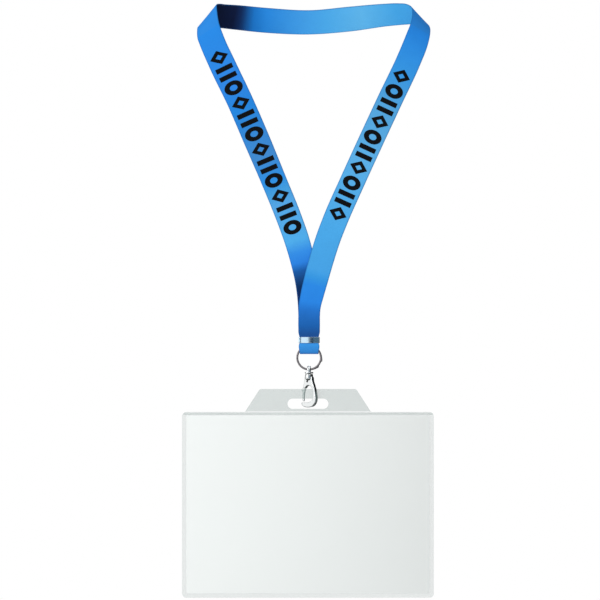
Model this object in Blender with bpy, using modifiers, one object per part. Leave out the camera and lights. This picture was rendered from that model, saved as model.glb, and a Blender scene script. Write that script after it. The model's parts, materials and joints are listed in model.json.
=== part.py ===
"""Lanyard badge holder: a woven neck ribbon crimped round a split ring, a swivel snap hook
hanging from the ring, and a clear landscape holder with a blank insert card on the hook.

Frame: metres, +Z up, the front towards -Y. The origin is on the inner face of the ribbon
at the nape of the neck, and the hardware hangs on the vertical line X = 0, Y = HANG_Y.
"""
import math

import bmesh
import bpy
import numpy as np
from mathutils import Matrix

MM = 0.001
GAP = 0.3 * MM                      # clearance kept between pieces that touch

# Ribbon
RIBBON_THICKNESS = 0.8 * MM
HANG_Y = -46 * MM                   # plane of the straps, in front of the nape
LAYER_PITCH = RIBBON_THICKNESS + GAP
STRAP_HALF = 11.2 * MM              # half of the ribbon's width
TAIL_TOP_Z = -273.8 * MM            # cut end of the tail, behind the crimp
LOOP_RADIUS = 1.7 * MM              # fold round the split ring, to the middle of the ribbon
LOOP_BOTTOM_Z = -291.8 * MM
LOOP_HALF = 8.3 * MM                # half width at the fold and, above it, at the widest
LOOP_SPREAD = 9.0 * MM
STEPS_BETWEEN_STATIONS = 3

# Crimp
CRIMP_TOP_Z = -277.2 * MM
CRIMP_BOTTOM_Z = -282.5 * MM
CRIMP_HALF_WIDTH = 9.3 * MM
CRIMP_HALF_DEPTH = 2.3 * MM
CRIMP_SHEET = 0.5 * MM
CRIMP_SEAM = 1.2 * MM

# Split ring
RING_Z = -295.3 * MM
RING_RADIUS = 10.4 * MM             # to the middle of the wire
RING_WIRE_RADIAL = 1.8 * MM
RING_WIRE_AXIAL = 0.86 * MM
RING_TURN_PITCH = 0.96 * MM
RING_JOG_ANGLE = math.radians(-30)  # where the two free ends and the jog between them lie
RING_END_GAP = math.radians(12)     # from the jog's middle to each free end
RING_JOG_HALF = math.radians(9)

# Swivel eye
EYE_HOLE_RADIUS = 1.9 * MM
EYE_HOLE_TOP_Z = -304.3 * MM
EYE_HOLE_BOTTOM_Z = -307.6 * MM
EYE_BAR_TOP = 1.9 * MM
EYE_BAR_SIDE = 1.5 * MM
EYE_WIDTH = 3.2 * MM
FLANGE_RADIUS = 3.7 * MM
FLANGE_TOP_Z = -308.0 * MM
FLANGE_BOTTOM_Z = -309.3 * MM
STEM_RADIUS = 1.3 * MM
RIVET_RADIUS = 2.1 * MM
RIVET_TOP_Z = -311.9 * MM
RIVET_BOTTOM_Z = -312.7 * MM

# Snap hook, in its own plane: u to the right, z up, w through its thickness
HOOK_YAW = math.radians(35)         # the hook's plane, turned from the holder's
HOOK_THICKNESS = 3.6 * MM
HOOK_TOP_Z = FLANGE_BOTTOM_Z - GAP
BARREL_RADIUS = 3.5 * MM
BARREL_BOTTOM_Z = -314.5 * MM
SLOT_WIDTH = 2.0 * MM               # between the two cheeks that carry the gate
GATE_THICKNESS = 1.4 * MM
PIN_U = -0.8 * MM
PIN_Z = -316.2 * MM
PIN_RADIUS = 0.8 * MM
PIN_HOLE_RADIUS = PIN_RADIUS + 0.15 * MM
SPRING_U = 1.1 * MM
SPRING_TOP_Z = -313.9 * MM
SPRING_BOTTOM_Z = -315.2 * MM
SPRING_RADIUS = 0.5 * MM
SPRING_WIRE = 0.2 * MM
SPRING_TURNS = 3

# Holder
HOLDER_X = -1.0 * MM                # the holder hangs a millimetre off the hook's line
HOLDER_Y = HANG_Y - 0.6 * MM        # mid-plane of the back sheet
BACK_THICKNESS = 0.8 * MM
POUCH_HALF_WIDTH = 110.8 * MM
POUCH_TOP_Z = -343.1 * MM
POUCH_BOTTOM_Z = -506.7 * MM
POUCH_CORNER = 4.0 * MM
TAB_TOP_Z = -322.9 * MM
TAB_TOP_HALF = 42.4 * MM
TAB_BASE_HALF = 55.5 * MM
TAB_CORNER = 2.5 * MM
SLOT_TOP_Z = -331.4 * MM
SLOT_BOTTOM_Z = -340.4 * MM
SLOT_HALF = 18.0 * MM
WELD_WIDTH = 3.3 * MM
FRONT_DEPTH = 1.3 * MM              # weld border, back to front
FRONT_THICKNESS = 0.6 * MM          # window
CARD_WIDTH = 214.0 * MM
CARD_HEIGHT = 157.0 * MM
CARD_THICKNESS = 0.4 * MM
CARD_BOTTOM_Z = POUCH_BOTTOM_Z + WELD_WIDTH + 0.5 * MM
TILT_X = 4.4 * MM                   # where the slot's upper edge bears on the hook

ROUND_STEPS = 32
COLLECTION = "lanyard_badge_holder"


# ---------------------------------------------------------------- scene helpers

def clear_scene():
    for obj in list(bpy.data.objects):
        bpy.data.objects.remove(obj, do_unlink=True)


def new_collection(name):
    collection = bpy.data.collections.new(name)
    bpy.context.scene.collection.children.link(collection)
    return collection


def material(name, colour, roughness, metallic=0.0):
    mat = bpy.data.materials.new(name)
    mat.use_nodes = True
    shader = mat.node_tree.nodes["Principled BSDF"]
    shader.inputs["Base Color"].default_value = (*colour, 1.0)
    shader.inputs["Roughness"].default_value = roughness
    shader.inputs["Metallic"].default_value = metallic
    mat.diffuse_color = (*colour, 1.0)
    return mat


def joint_empty(name, location, yaw=0.0, parent=None):
    """An empty on a joint's axis, which carries the pieces that turn about it."""
    empty = bpy.data.objects.new(name, None)
    empty.matrix_world = Matrix.Translation(location) @ Matrix.Rotation(yaw, 4, "Z")
    bpy.context.scene.collection.objects.link(empty)
    if parent is not None:
        bpy.context.view_layer.update()
        empty.parent = parent
        empty.matrix_parent_inverse = parent.matrix_world.inverted()
    return empty


def adopt(parent, *pieces):
    """Parent the pieces without moving them."""
    bpy.context.view_layer.update()
    for piece in pieces:
        piece.parent = parent
        piece.matrix_parent_inverse = parent.matrix_world.inverted()


def mesh_object(name, bm, collection):
    mesh = bpy.data.meshes.new(name)
    bm.to_mesh(mesh)
    bm.free()
    obj = bpy.data.objects.new(name, mesh)
    collection.objects.link(obj)
    return obj


def curve_object(name, splines, collection, cyclic, dimensions="3D"):
    """A curve of straight-sided splines through lists of (x, y, z) points."""
    curve = bpy.data.curves.new(name, "CURVE")
    curve.dimensions = dimensions
    for points in splines:
        spline = curve.splines.new("POLY")
        spline.points.add(len(points) - 1)
        for target, (x, y, z) in zip(spline.points, points):
            target.co = (x, y, z, 1.0)
        spline.use_cyclic_u = cyclic
    obj = bpy.data.objects.new(name, curve)
    collection.objects.link(obj)
    return obj


def curve_to_mesh(obj):
    """The curve's solid as a mesh object of the same name, its caps welded on."""
    bpy.context.view_layer.update()
    evaluated = obj.evaluated_get(bpy.context.evaluated_depsgraph_get())
    mesh = bpy.data.meshes.new_from_object(evaluated)
    bm = bmesh.new()
    bm.from_mesh(mesh)
    bmesh.ops.remove_doubles(bm, verts=bm.verts, dist=0.001 * MM)
    bm.to_mesh(mesh)
    bm.free()
    name, collection, place = obj.name, obj.users_collection[0], obj.matrix_world.copy()
    bpy.data.objects.remove(obj)
    solid = bpy.data.objects.new(name, mesh)
    collection.objects.link(solid)
    solid.matrix_world = place
    return solid


def plate(name, outlines, thickness, collection, y=0.0):
    """A flat plate in the XZ plane: outlines of (x, z) points, the first one outside."""
    splines = [[(x, z, 0.0) for x, z in outline] for outline in outlines]
    obj = curve_object(name, splines, collection, True, "2D")
    obj.data.fill_mode = "BOTH"
    obj.data.extrude = thickness / 2
    obj.matrix_world = Matrix.Translation((0, y, 0)) @ Matrix.Rotation(math.pi / 2, 4, "X")
    return curve_to_mesh(obj)


def turned(name, profile, collection):
    """A solid turned about Z from (radius, z) points, given from top to bottom."""
    bm = bmesh.new()
    verts = [bm.verts.new((radius, 0, z)) for radius, z in profile]
    for upper, lower in zip(verts, verts[1:]):
        bm.edges.new((upper, lower))
    obj = mesh_object(name, bm, collection)
    screw = obj.modifiers.new("Turn", "SCREW")
    screw.steps = screw.render_steps = ROUND_STEPS
    screw.use_merge_vertices = True
    screw.merge_threshold = 0.00001
    return obj


def boolean(target, operation, tool, cutters):
    """Join or cut the target with the tool, which moves to the cutters."""
    modifier = target.modifiers.new(operation.title(), "BOOLEAN")
    modifier.operation = operation
    modifier.object = tool
    for collection in list(tool.users_collection):
        collection.objects.unlink(tool)
    cutters.objects.link(tool)
    tool.hide_render = True
    tool.display_type = "WIRE"


def finish_piece(obj, mat, smooth_angle=None):
    obj.data.materials.clear()
    obj.data.materials.append(mat)
    if smooth_angle is not None:
        obj.data.shade_smooth()
        obj.data.set_sharp_from_angle(angle=math.radians(smooth_angle))


# ---------------------------------------------------------------- outlines

def arc(centre, radius, start, end, steps):
    """Points on an arc, angles in degrees."""
    angles = np.radians(np.linspace(start, end, steps + 1))
    return [(centre[0] + radius * math.cos(a), centre[1] + radius * math.sin(a)) for a in angles]


def rounded(corners, steps=5):
    """A closed outline through (x, z, radius) corners, each turned by an arc."""
    outline = []
    count = len(corners)
    for index, (x, z, radius) in enumerate(corners):
        here = np.array((x, z))
        before = np.array(corners[index - 1][:2]) - here
        after = np.array(corners[(index + 1) % count][:2]) - here
        before /= np.linalg.norm(before)
        after /= np.linalg.norm(after)
        half = math.acos(np.clip(before @ after, -1, 1)) / 2
        if radius == 0:
            outline.append((x, z))
            continue
        bisector = (before + after) / np.linalg.norm(before + after)
        centre = here + bisector * radius / math.sin(half)
        start = here + before * radius / math.tan(half) - centre
        end = here + after * radius / math.tan(half) - centre
        first = math.atan2(start[1], start[0])
        sweep = (math.atan2(end[1], end[0]) - first + math.pi) % (2 * math.pi) - math.pi
        for step in range(steps + 1):
            angle = first + sweep * step / steps
            outline.append((centre[0] + radius * math.cos(angle),
                            centre[1] + radius * math.sin(angle)))
    return outline


def smooth_outline(points, steps=3):
    """A closed Catmull-Rom curve through the points."""
    knots = np.array(points)
    before, after = np.roll(knots, 1, axis=0), np.roll(knots, -1, axis=0)
    beyond = np.roll(knots, -2, axis=0)
    outline = []
    for k in range(len(knots)):
        for t in np.arange(steps) / steps:
            outline.append(0.5 * (2 * knots[k] + (after[k] - before[k]) * t
                                  + (2 * before[k] - 5 * knots[k] + 4 * after[k] - beyond[k]) * t ** 2
                                  + (3 * knots[k] - before[k] - 3 * after[k] + beyond[k]) * t ** 3))
    return outline


# ---------------------------------------------------------------- ribbon

# Each strap's middle line in the straps' plane, from the shoulder down to the crimp:
# (x, z, half width) in millimetres. The ribbon is gathered as it nears the crimp.
LEFT_STRAP = [
    (-76.9, -36.1, 11.5), (-61.3, -68.6, 11.4), (-46.0, -103.8, 11.5), (-31.2, -139.0, 11.1),
    (-17.0, -174.2, 11.1), (-10.8, -191.8, 11.0), (-5.9, -209.4, 10.7), (-2.2, -227.0, 10.3),
    (-0.4, -243.0, 9.9), (0.0, -258.0, 9.5), (0.0, -269.0, 9.5), (0.0, -273.9, 9.3),
    (0.0, -276.6, 8.6), (0.0, -281.6, 8.5)]
RIGHT_STRAP = [
    (71.2, -68.6, 11.0), (54.8, -103.8, 11.0), (38.7, -139.0, 11.0), (23.1, -174.2, 11.0),
    (16.4, -191.8, 10.9), (10.9, -209.4, 10.8), (6.0, -227.0, 10.6), (2.7, -240.0, 10.2),
    (0.6, -250.0, 9.7), (0.0, -260.0, 9.5), (0.0, -269.0, 9.5), (0.0, -273.9, 9.3),
    (0.0, -276.6, 8.6), (0.0, -282.6, 8.5)]

# The folds over the shoulders and the band round the nape, from the right strap to the left:
# pairs of points on the ribbon's two edges, in millimetres, y from the straps' plane back.
# The first point of a pair is the inner edge of a strap, which becomes the band's top edge.
SHOULDERS_AND_NAPE = [
    ((77.9, -1.5, -29.0), (97.7, 1.0, -37.8)),
    ((85.6, -1.5, -10.5), (104.4, 3.0, -20.4)),
    ((89.2, 0.8, -1.2), (106.5, 6.2, -11.2)),
    ((90.7, 4.6, 6.8), (106.5, 11.2, -5.2)),
    ((90.2, 9.6, 13.0), (104.4, 16.2, -2.2)),
    ((86.2, 14.0, 15.9), (98.4, 20.6, -1.4)),
    ((78.6, 18.6, 16.8), (88.0, 26.6, -1.6)),
    ((66.4, 24.6, 16.5), (72.0, 33.6, -2.8)),
    ((36.0, 35.2, 14.2), (37.6, 44.8, -7.4)),
    ((0.0, 41.4, 11.1), (0.0, 51.1, -10.1)),
    ((-36.0, 35.8, 13.0), (-37.4, 45.0, -8.8)),
    ((-63.6, 25.4, 15.4), (-68.8, 33.2, -5.8)),
    ((-73.4, 19.6, 15.9), (-83.0, 23.4, -4.4)),
    ((-79.2, 14.2, 16.3), (-93.0, 15.4, -3.8)),
    ((-81.2, 9.2, 15.4), (-97.6, 9.0, -4.4)),
    ((-80.8, 4.2, 8.2), (-98.6, 3.8, -8.2)),
    ((-79.0, 1.2, -1.8), (-98.2, 0.8, -14.4)),
    ((-75.6, 0.2, -11.2), (-96.6, 0.0, -19.2))]


def strap_stations(rows, y, inner_side):
    """Edge pairs across a strap, square to its middle line: the inner edge comes first."""
    middle = np.array([(x, z) for x, z, _ in rows]) * MM
    along = np.gradient(middle, axis=0)
    along /= np.linalg.norm(along, axis=1)[:, None]
    stations = []
    for (x, z), (dx, dz), (_, _, half) in zip(middle, along, rows):
        across = np.array((-dz, dx)) * inner_side * half * MM
        stations.append(((x + across[0], y, z + across[1]), (x - across[0], y, z - across[1])))
    return stations


def level_station(y, z, half):
    """A level edge pair in the loop below the crimp: the left edge comes first."""
    return (-half, y, z), (half, y, z)


def loop_stations():
    """The tail behind the crimp and the fold round the ring, as far as the front layer."""
    straight = CRIMP_BOTTOM_Z - 0.1 * MM
    flare = straight - 1.6 * MM
    fold_z = LOOP_BOTTOM_Z + LOOP_RADIUS
    pinch = 8.5 * MM
    stations = [level_station(HANG_Y + LAYER_PITCH, z, pinch)
                for z in (TAIL_TOP_Z, CRIMP_TOP_Z, straight)]
    stations.append(level_station(HANG_Y + LOOP_RADIUS, flare, LOOP_SPREAD))
    stations.append(level_station(HANG_Y + LOOP_RADIUS, (flare + fold_z) / 2, LOOP_SPREAD))
    for angle in np.radians((0, 30, 60, 90, 120, 150, 180)):
        stations.append(level_station(HANG_Y + LOOP_RADIUS * math.cos(angle),
                                      fold_z - LOOP_RADIUS * math.sin(angle), LOOP_HALF))
    stations.append(level_station(HANG_Y - LOOP_RADIUS, (flare + fold_z) / 2, LOOP_SPREAD))
    stations.append(level_station(HANG_Y - LOOP_RADIUS, flare, LOOP_SPREAD))
    return stations


def ribbon_edges():
    """Both edges of the whole strip, end to end, as smooth lines of points."""
    # Seen from the front, the inner side of the right strap is its left and of the left its right.
    right = strap_stations(RIGHT_STRAP, HANG_Y - LAYER_PITCH, -1)
    left = strap_stations(LEFT_STRAP, HANG_Y, 1)
    straps_plane = np.array((0.0, HANG_Y, 0.0))
    over = [(np.array(first) * MM + straps_plane, np.array(second) * MM + straps_plane)
            for first, second in SHOULDERS_AND_NAPE]
    stations = loop_stations() + right[::-1] + over + left
    return smooth_strip(np.array(stations))


def smooth_strip(stations):
    """Hermite curves along both edges, with tangents from the neighbouring stations."""
    middle = stations.mean(axis=1)
    step = np.linalg.norm(np.diff(middle, axis=0), axis=1)
    slope = np.diff(stations, axis=0) / step[:, None, None]
    tangent = np.concatenate((slope[:1], np.zeros_like(slope[1:]), slope[-1:]))
    weight = (step[1:] / (step[:-1] + step[1:]))[:, None, None]
    tangent[1:-1] = slope[:-1] * weight + slope[1:] * (1 - weight)
    rows = []
    for k, length in enumerate(step):
        for t in np.arange(STEPS_BETWEEN_STATIONS) / STEPS_BETWEEN_STATIONS:
            rows.append((2 * t ** 3 - 3 * t ** 2 + 1) * stations[k]
                        + (t ** 3 - 2 * t ** 2 + t) * length * tangent[k]
                        + (3 * t ** 2 - 2 * t ** 3) * stations[k + 1]
                        + (t ** 3 - t ** 2) * length * tangent[k + 1])
    rows.append(stations[-1])
    return np.array(rows)


def build_ribbon(collection):
    """One strip: tail, fold round the ring, right strap, nape and left strap."""
    bm = bmesh.new()
    grid = [[bm.verts.new(first), bm.verts.new((first + second) / 2), bm.verts.new(second)]
            for first, second in ribbon_edges()]
    for row, following in zip(grid, grid[1:]):
        for column in (0, 1):
            bm.faces.new((row[column], row[column + 1],
                          following[column + 1], following[column]))
    ribbon = mesh_object("lanyard_ribbon", bm, collection)
    shell = ribbon.modifiers.new("Thickness", "SOLIDIFY")
    shell.thickness = RIBBON_THICKNESS
    shell.offset = 0
    shell.use_even_offset = True
    finish_piece(ribbon, material("blue_woven_ribbon", (0.02, 0.25, 0.79), 0.55), 40)
    return ribbon


# ---------------------------------------------------------------- crimp and ring

def build_crimp(collection):
    """A flat band of sheet metal, closed round the three layers, with its seam behind."""
    inner_width = CRIMP_HALF_WIDTH - CRIMP_SHEET
    inner_depth = CRIMP_HALF_DEPTH - CRIMP_SHEET
    seam = CRIMP_SEAM / 2
    outside_corner = 1.2 * MM
    inside_corner = outside_corner - CRIMP_SHEET
    outline = rounded([
        (seam, CRIMP_HALF_DEPTH, 0),
        (CRIMP_HALF_WIDTH, CRIMP_HALF_DEPTH, outside_corner),
        (CRIMP_HALF_WIDTH, -CRIMP_HALF_DEPTH, outside_corner),
        (-CRIMP_HALF_WIDTH, -CRIMP_HALF_DEPTH, outside_corner),
        (-CRIMP_HALF_WIDTH, CRIMP_HALF_DEPTH, outside_corner),
        (-seam, CRIMP_HALF_DEPTH, 0),
        (-seam, inner_depth, 0),
        (-inner_width, inner_depth, inside_corner),
        (-inner_width, -inner_depth, inside_corner),
        (inner_width, -inner_depth, inside_corner),
        (inner_width, inner_depth, inside_corner),
        (seam, inner_depth, 0)])
    band = curve_object("crimp", [[(x, y, 0.0) for x, y in outline]], collection, True, "2D")
    band.data.fill_mode = "BOTH"
    band.data.extrude = (CRIMP_TOP_Z - CRIMP_BOTTOM_Z) / 2
    band.location = (0, HANG_Y, (CRIMP_TOP_Z + CRIMP_BOTTOM_Z) / 2)
    crimp = curve_to_mesh(band)
    finish_piece(crimp, material("nickel_sheet", (0.74, 0.75, 0.77), 0.25, 1.0), 40)
    return crimp


def build_split_ring(collection):
    """Two flat turns of wire side by side: a jog leads from one to the other between the ends."""
    start, end = RING_END_GAP, 4 * math.pi - RING_END_GAP
    sections = []
    half_r, half_a = RING_WIRE_RADIAL / 2, RING_WIRE_AXIAL / 2
    chamfer = 0.3 * half_a
    profile = [(half_r, half_a - chamfer), (half_r - chamfer, half_a),
               (chamfer - half_r, half_a), (-half_r, half_a - chamfer),
               (-half_r, chamfer - half_a), (chamfer - half_r, -half_a),
               (half_r - chamfer, -half_a), (half_r, chamfer - half_a)]
    for turn in np.linspace(start, end, 2 * 44 + 1):
        across = np.clip((turn - 2 * math.pi) / RING_JOG_HALF, -1, 1)
        axial = RING_TURN_PITCH / 2 * across * (3 - across ** 2) / 2
        angle = RING_JOG_ANGLE + turn
        sections.append([((RING_RADIUS + r) * math.cos(angle), axial + a,
                          (RING_RADIUS + r) * math.sin(angle)) for r, a in profile])
    bm = bmesh.new()
    rings = [[bm.verts.new(point) for point in section] for section in sections]
    for ring, following in zip(rings, rings[1:]):
        for k in range(len(profile)):
            after = (k + 1) % len(profile)
            bm.faces.new((ring[k], ring[after], following[after], following[k]))
    bm.faces.new(rings[0])
    bm.faces.new(rings[-1])
    bmesh.ops.recalc_face_normals(bm, faces=bm.faces)
    ring = mesh_object("split_ring", bm, collection)
    ring.location = (0, HANG_Y, RING_Z)
    finish_piece(ring, material("nickel_wire", (0.60, 0.58, 0.57), 0.25, 1.0), 50)
    return ring


# ---------------------------------------------------------------- swivel and hook

def build_swivel_eye(collection, cutters):
    """A stirrup round the ring's wire, on a flange and a stem riveted inside the hook."""
    centre_z = EYE_HOLE_TOP_Z - EYE_HOLE_RADIUS
    foot_z = (FLANGE_TOP_Z + FLANGE_BOTTOM_Z) / 2
    half = EYE_HOLE_RADIUS + EYE_BAR_SIDE
    crown = EYE_HOLE_TOP_Z + EYE_BAR_TOP
    outside = [(half, foot_z), (half, centre_z)]
    for angle in np.radians(np.linspace(15, 165, 11)):
        outside.append((half * math.cos(angle), centre_z + (crown - centre_z) * math.sin(angle)))
    outside += [(-half, centre_z), (-half, foot_z)]
    hole = [(EYE_HOLE_RADIUS, EYE_HOLE_BOTTOM_Z)]
    hole += arc((0, centre_z), EYE_HOLE_RADIUS, 0, 180, 12)
    hole += [(-EYE_HOLE_RADIUS, EYE_HOLE_BOTTOM_Z)]
    eye = plate("swivel_eye", [outside, hole], EYE_WIDTH, collection)
    eye.data.transform(Matrix.Rotation(math.pi / 2, 4, "Z") @ eye.matrix_world)
    eye.matrix_world = Matrix.Translation((0, HANG_Y, 0))
    stem = turned("swivel_stem", [
        (0, FLANGE_TOP_Z), (FLANGE_RADIUS, FLANGE_TOP_Z), (FLANGE_RADIUS, FLANGE_BOTTOM_Z),
        (STEM_RADIUS, FLANGE_BOTTOM_Z), (STEM_RADIUS, RIVET_TOP_Z),
        (RIVET_RADIUS, RIVET_TOP_Z), (RIVET_RADIUS, RIVET_BOTTOM_Z), (0, RIVET_BOTTOM_Z)],
        collection)
    stem.location = (0, HANG_Y, 0)
    boolean(eye, "UNION", stem, cutters)
    finish_piece(eye, material("nickel_swivel", (0.80, 0.82, 0.84), 0.2, 1.0), 40)
    return eye


# The hook's body in its own plane, (u, z) in millimetres: down the spine on the right, under
# the bend, round the tip and back up the inside, then down and up the left cheek.
HOOK_OUTLINE = [
    (3.4, -312.0), (4.6, -316.1), (6.6, -321.8), (7.9, -327.4), (8.3, -331.6), (7.2, -335.4),
    (4.2, -338.3), (0.0, -339.1), (-4.2, -338.6), (-6.9, -336.6), (-7.2, -334.9),
    (-5.2, -334.8), (-2.6, -334.8), (0.0, -334.7), (2.9, -333.6), (4.5, -331.3), (4.9, -328.0),
    (4.7, -324.4), (3.3, -321.2), (0.8, -319.8), (-1.6, -320.4), (-3.2, -322.1), (-5.2, -321.9),
    (-5.0, -319.4), (-4.1, -316.1), (-3.4, -312.0)]

# The room between the cheeks for the gate's root and its spring, (u, z) in millimetres.
GATE_ROOM = [(0.2, -314.3), (0.2, -313.7), (2.3, -313.7), (2.3, -318.0), (1.2, -321.5),
             (-9.0, -324.0), (-9.0, -314.3)]

# The gate in the same plane: its root round the pin, the heel under the spring on the right,
# the thumb nub on the left and the lever down to the hook's tip.
GATE_OUTLINE = [
    (-0.8, -314.8), (0.6, -315.5), (1.9, -315.5), (1.9, -316.6), (0.6, -317.4), (-1.7, -319.8),
    (-3.4, -322.8), (-4.4, -326.0), (-4.9, -330.0), (-5.0, -333.9), (-6.7, -333.9),
    (-7.0, -331.0), (-6.9, -327.0), (-7.0, -325.0), (-7.8, -323.6), (-6.8, -322.5),
    (-4.6, -319.4), (-2.3, -315.9)]


def in_millimetres(outline):
    return [(u * MM, z * MM) for u, z in outline]


def build_hook_body(collection, cutters):
    """The cast body: a barrel for the swivel's stem, two cheeks for the gate, and the bend."""
    body = plate("hook_body", [smooth_outline(in_millimetres(HOOK_OUTLINE), 3)],
                 HOOK_THICKNESS, collection)
    barrel = turned("hook_barrel", [
        (0, HOOK_TOP_Z), (BARREL_RADIUS, HOOK_TOP_Z), (BARREL_RADIUS, BARREL_BOTTOM_Z),
        (0, BARREL_BOTTOM_Z)], collection)
    boolean(body, "UNION", barrel, cutters)
    bore, chamber, above = STEM_RADIUS + GAP, RIVET_RADIUS + GAP, HOOK_TOP_Z + 1 * MM
    swivel_room = turned("hook_swivel_room", [
        (0, above), (bore, above), (bore, RIVET_TOP_Z + GAP), (chamber, RIVET_TOP_Z + GAP),
        (chamber, RIVET_BOTTOM_Z - GAP), (0, RIVET_BOTTOM_Z - GAP)], collection)
    boolean(body, "DIFFERENCE", swivel_room, cutters)
    gate_room = plate("hook_gate_room", [in_millimetres(GATE_ROOM)], SLOT_WIDTH, collection)
    boolean(body, "DIFFERENCE", gate_room, cutters)
    pin_hole = plate("hook_pin_hole", [arc((PIN_U, PIN_Z), PIN_HOLE_RADIUS, 0, 345, 23)],
                     2 * HOOK_THICKNESS, collection)
    boolean(body, "DIFFERENCE", pin_hole, cutters)
    finish_piece(body, material("chromed_casting", (0.82, 0.84, 0.86), 0.12, 1.0), 35)
    return body, [barrel, swivel_room, gate_room, pin_hole]


def build_gate(collection, cutters):
    """The sprung lever, with a broad thumb nub, on its pin between the cheeks."""
    gate = plate("hook_gate", [in_millimetres(GATE_OUTLINE)], GATE_THICKNESS, collection)
    pin_hole = plate("gate_pin_hole", [arc((PIN_U, PIN_Z), PIN_HOLE_RADIUS, 0, 345, 23)],
                     2 * GATE_THICKNESS, collection)
    boolean(gate, "DIFFERENCE", pin_hole, cutters)
    finish_piece(gate, material("chromed_lever", (0.84, 0.86, 0.87), 0.15, 1.0), 35)
    return gate, [pin_hole]


def build_gate_pin(collection):
    pin = plate("gate_pin", [arc((PIN_U, PIN_Z), PIN_RADIUS, 0, 337.5, 15)],
                HOOK_THICKNESS, collection)
    finish_piece(pin, material("dark_steel_pin", (0.10, 0.10, 0.11), 0.35, 1.0), 40)
    return pin


def build_gate_spring(collection):
    """A short coil spring that pushes the gate's heel down, in the room above it."""
    turns = np.linspace(0, 2 * math.pi * SPRING_TURNS, 10 * SPRING_TURNS + 1)
    inset = SPRING_WIRE / 2
    heights = np.linspace(SPRING_TOP_Z - inset, SPRING_BOTTOM_Z + inset, len(turns))
    points = [(SPRING_U + SPRING_RADIUS * math.cos(a), SPRING_RADIUS * math.sin(a), z)
              for a, z in zip(turns, heights)]
    spring = curve_object("gate_spring", [points], collection, False)
    spring.data.bevel_depth = SPRING_WIRE / 2
    spring.data.bevel_resolution = 1
    spring.data.use_fill_caps = True
    finish_piece(spring, material("spring_steel", (0.45, 0.45, 0.46), 0.3, 1.0))
    return spring


# ---------------------------------------------------------------- holder

def sheet_outline():
    """The back sheet: the pouch's panel with the hanging tab above it."""
    return rounded([
        (-POUCH_HALF_WIDTH, POUCH_BOTTOM_Z, POUCH_CORNER),
        (POUCH_HALF_WIDTH, POUCH_BOTTOM_Z, POUCH_CORNER),
        (POUCH_HALF_WIDTH, POUCH_TOP_Z, POUCH_CORNER),
        (TAB_BASE_HALF, POUCH_TOP_Z, TAB_CORNER),
        (TAB_TOP_HALF, TAB_TOP_Z, TAB_CORNER),
        (-TAB_TOP_HALF, TAB_TOP_Z, TAB_CORNER),
        (-TAB_BASE_HALF, POUCH_TOP_Z, TAB_CORNER),
        (-POUCH_HALF_WIDTH, POUCH_TOP_Z, POUCH_CORNER)])


def build_back_sheet(collection):
    """Clear sheet with the hanging slot punched through its tab."""
    radius = (SLOT_TOP_Z - SLOT_BOTTOM_Z) / 2
    middle_z = (SLOT_TOP_Z + SLOT_BOTTOM_Z) / 2
    straight = SLOT_HALF - radius
    slot = (arc((straight, middle_z), radius, -90, 90, 10)
            + arc((-straight, middle_z), radius, 90, 270, 10))
    sheet = plate("back_sheet", [sheet_outline(), slot], BACK_THICKNESS, collection)
    sheet.matrix_world = Matrix.Translation((HOLDER_X, HOLDER_Y, 0)) @ sheet.matrix_world
    finish_piece(sheet, material("clear_vinyl_back", (0.80, 0.86, 0.85), 0.25))
    return sheet


def build_front_sheet(collection, cutters):
    """Clear window, joined to the back along its sides and bottom and open along its top."""
    back_face = HOLDER_Y - BACK_THICKNESS / 2 - GAP
    outline = rounded([
        (-POUCH_HALF_WIDTH, POUCH_BOTTOM_Z, POUCH_CORNER),
        (POUCH_HALF_WIDTH, POUCH_BOTTOM_Z, POUCH_CORNER),
        (POUCH_HALF_WIDTH, POUCH_TOP_Z, POUCH_CORNER),
        (-POUCH_HALF_WIDTH, POUCH_TOP_Z, POUCH_CORNER)])
    sheet = plate("front_sheet", [outline], FRONT_DEPTH, collection)
    sheet.matrix_world = (Matrix.Translation((HOLDER_X, back_face - FRONT_DEPTH / 2, 0))
                          @ sheet.matrix_world)
    overrun = 2 * MM
    depth = FRONT_DEPTH - FRONT_THICKNESS
    pocket_bottom = POUCH_BOTTOM_Z + WELD_WIDTH
    pocket_top = POUCH_TOP_Z + overrun
    bm = bmesh.new()
    bmesh.ops.create_cube(bm, size=1.0, matrix=Matrix.Diagonal(
        (2 * (POUCH_HALF_WIDTH - WELD_WIDTH), depth + overrun, pocket_top - pocket_bottom, 1)))
    pocket = mesh_object("pocket_room", bm, collection)
    pocket.location = (HOLDER_X, back_face - depth + (depth + overrun) / 2,
                       (pocket_top + pocket_bottom) / 2)
    boolean(sheet, "DIFFERENCE", pocket, cutters)
    finish_piece(sheet, material("clear_vinyl_front", (0.88, 0.93, 0.92), 0.15))
    return sheet, pocket


def build_card(collection):
    """A blank insert card, standing on the pocket's bottom."""
    bm = bmesh.new()
    bmesh.ops.create_cube(bm, size=1.0, matrix=Matrix.Diagonal(
        (CARD_WIDTH, CARD_THICKNESS, CARD_HEIGHT, 1)))
    card = mesh_object("insert_card", bm, collection)
    card.location = (HOLDER_X, HOLDER_Y - BACK_THICKNESS / 2 - GAP - CARD_THICKNESS / 2,
                     CARD_BOTTOM_Z + CARD_HEIGHT / 2)
    finish_piece(card, material("white_card", (0.93, 0.95, 0.95), 0.5))
    return card


# ---------------------------------------------------------------- assembly

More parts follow.
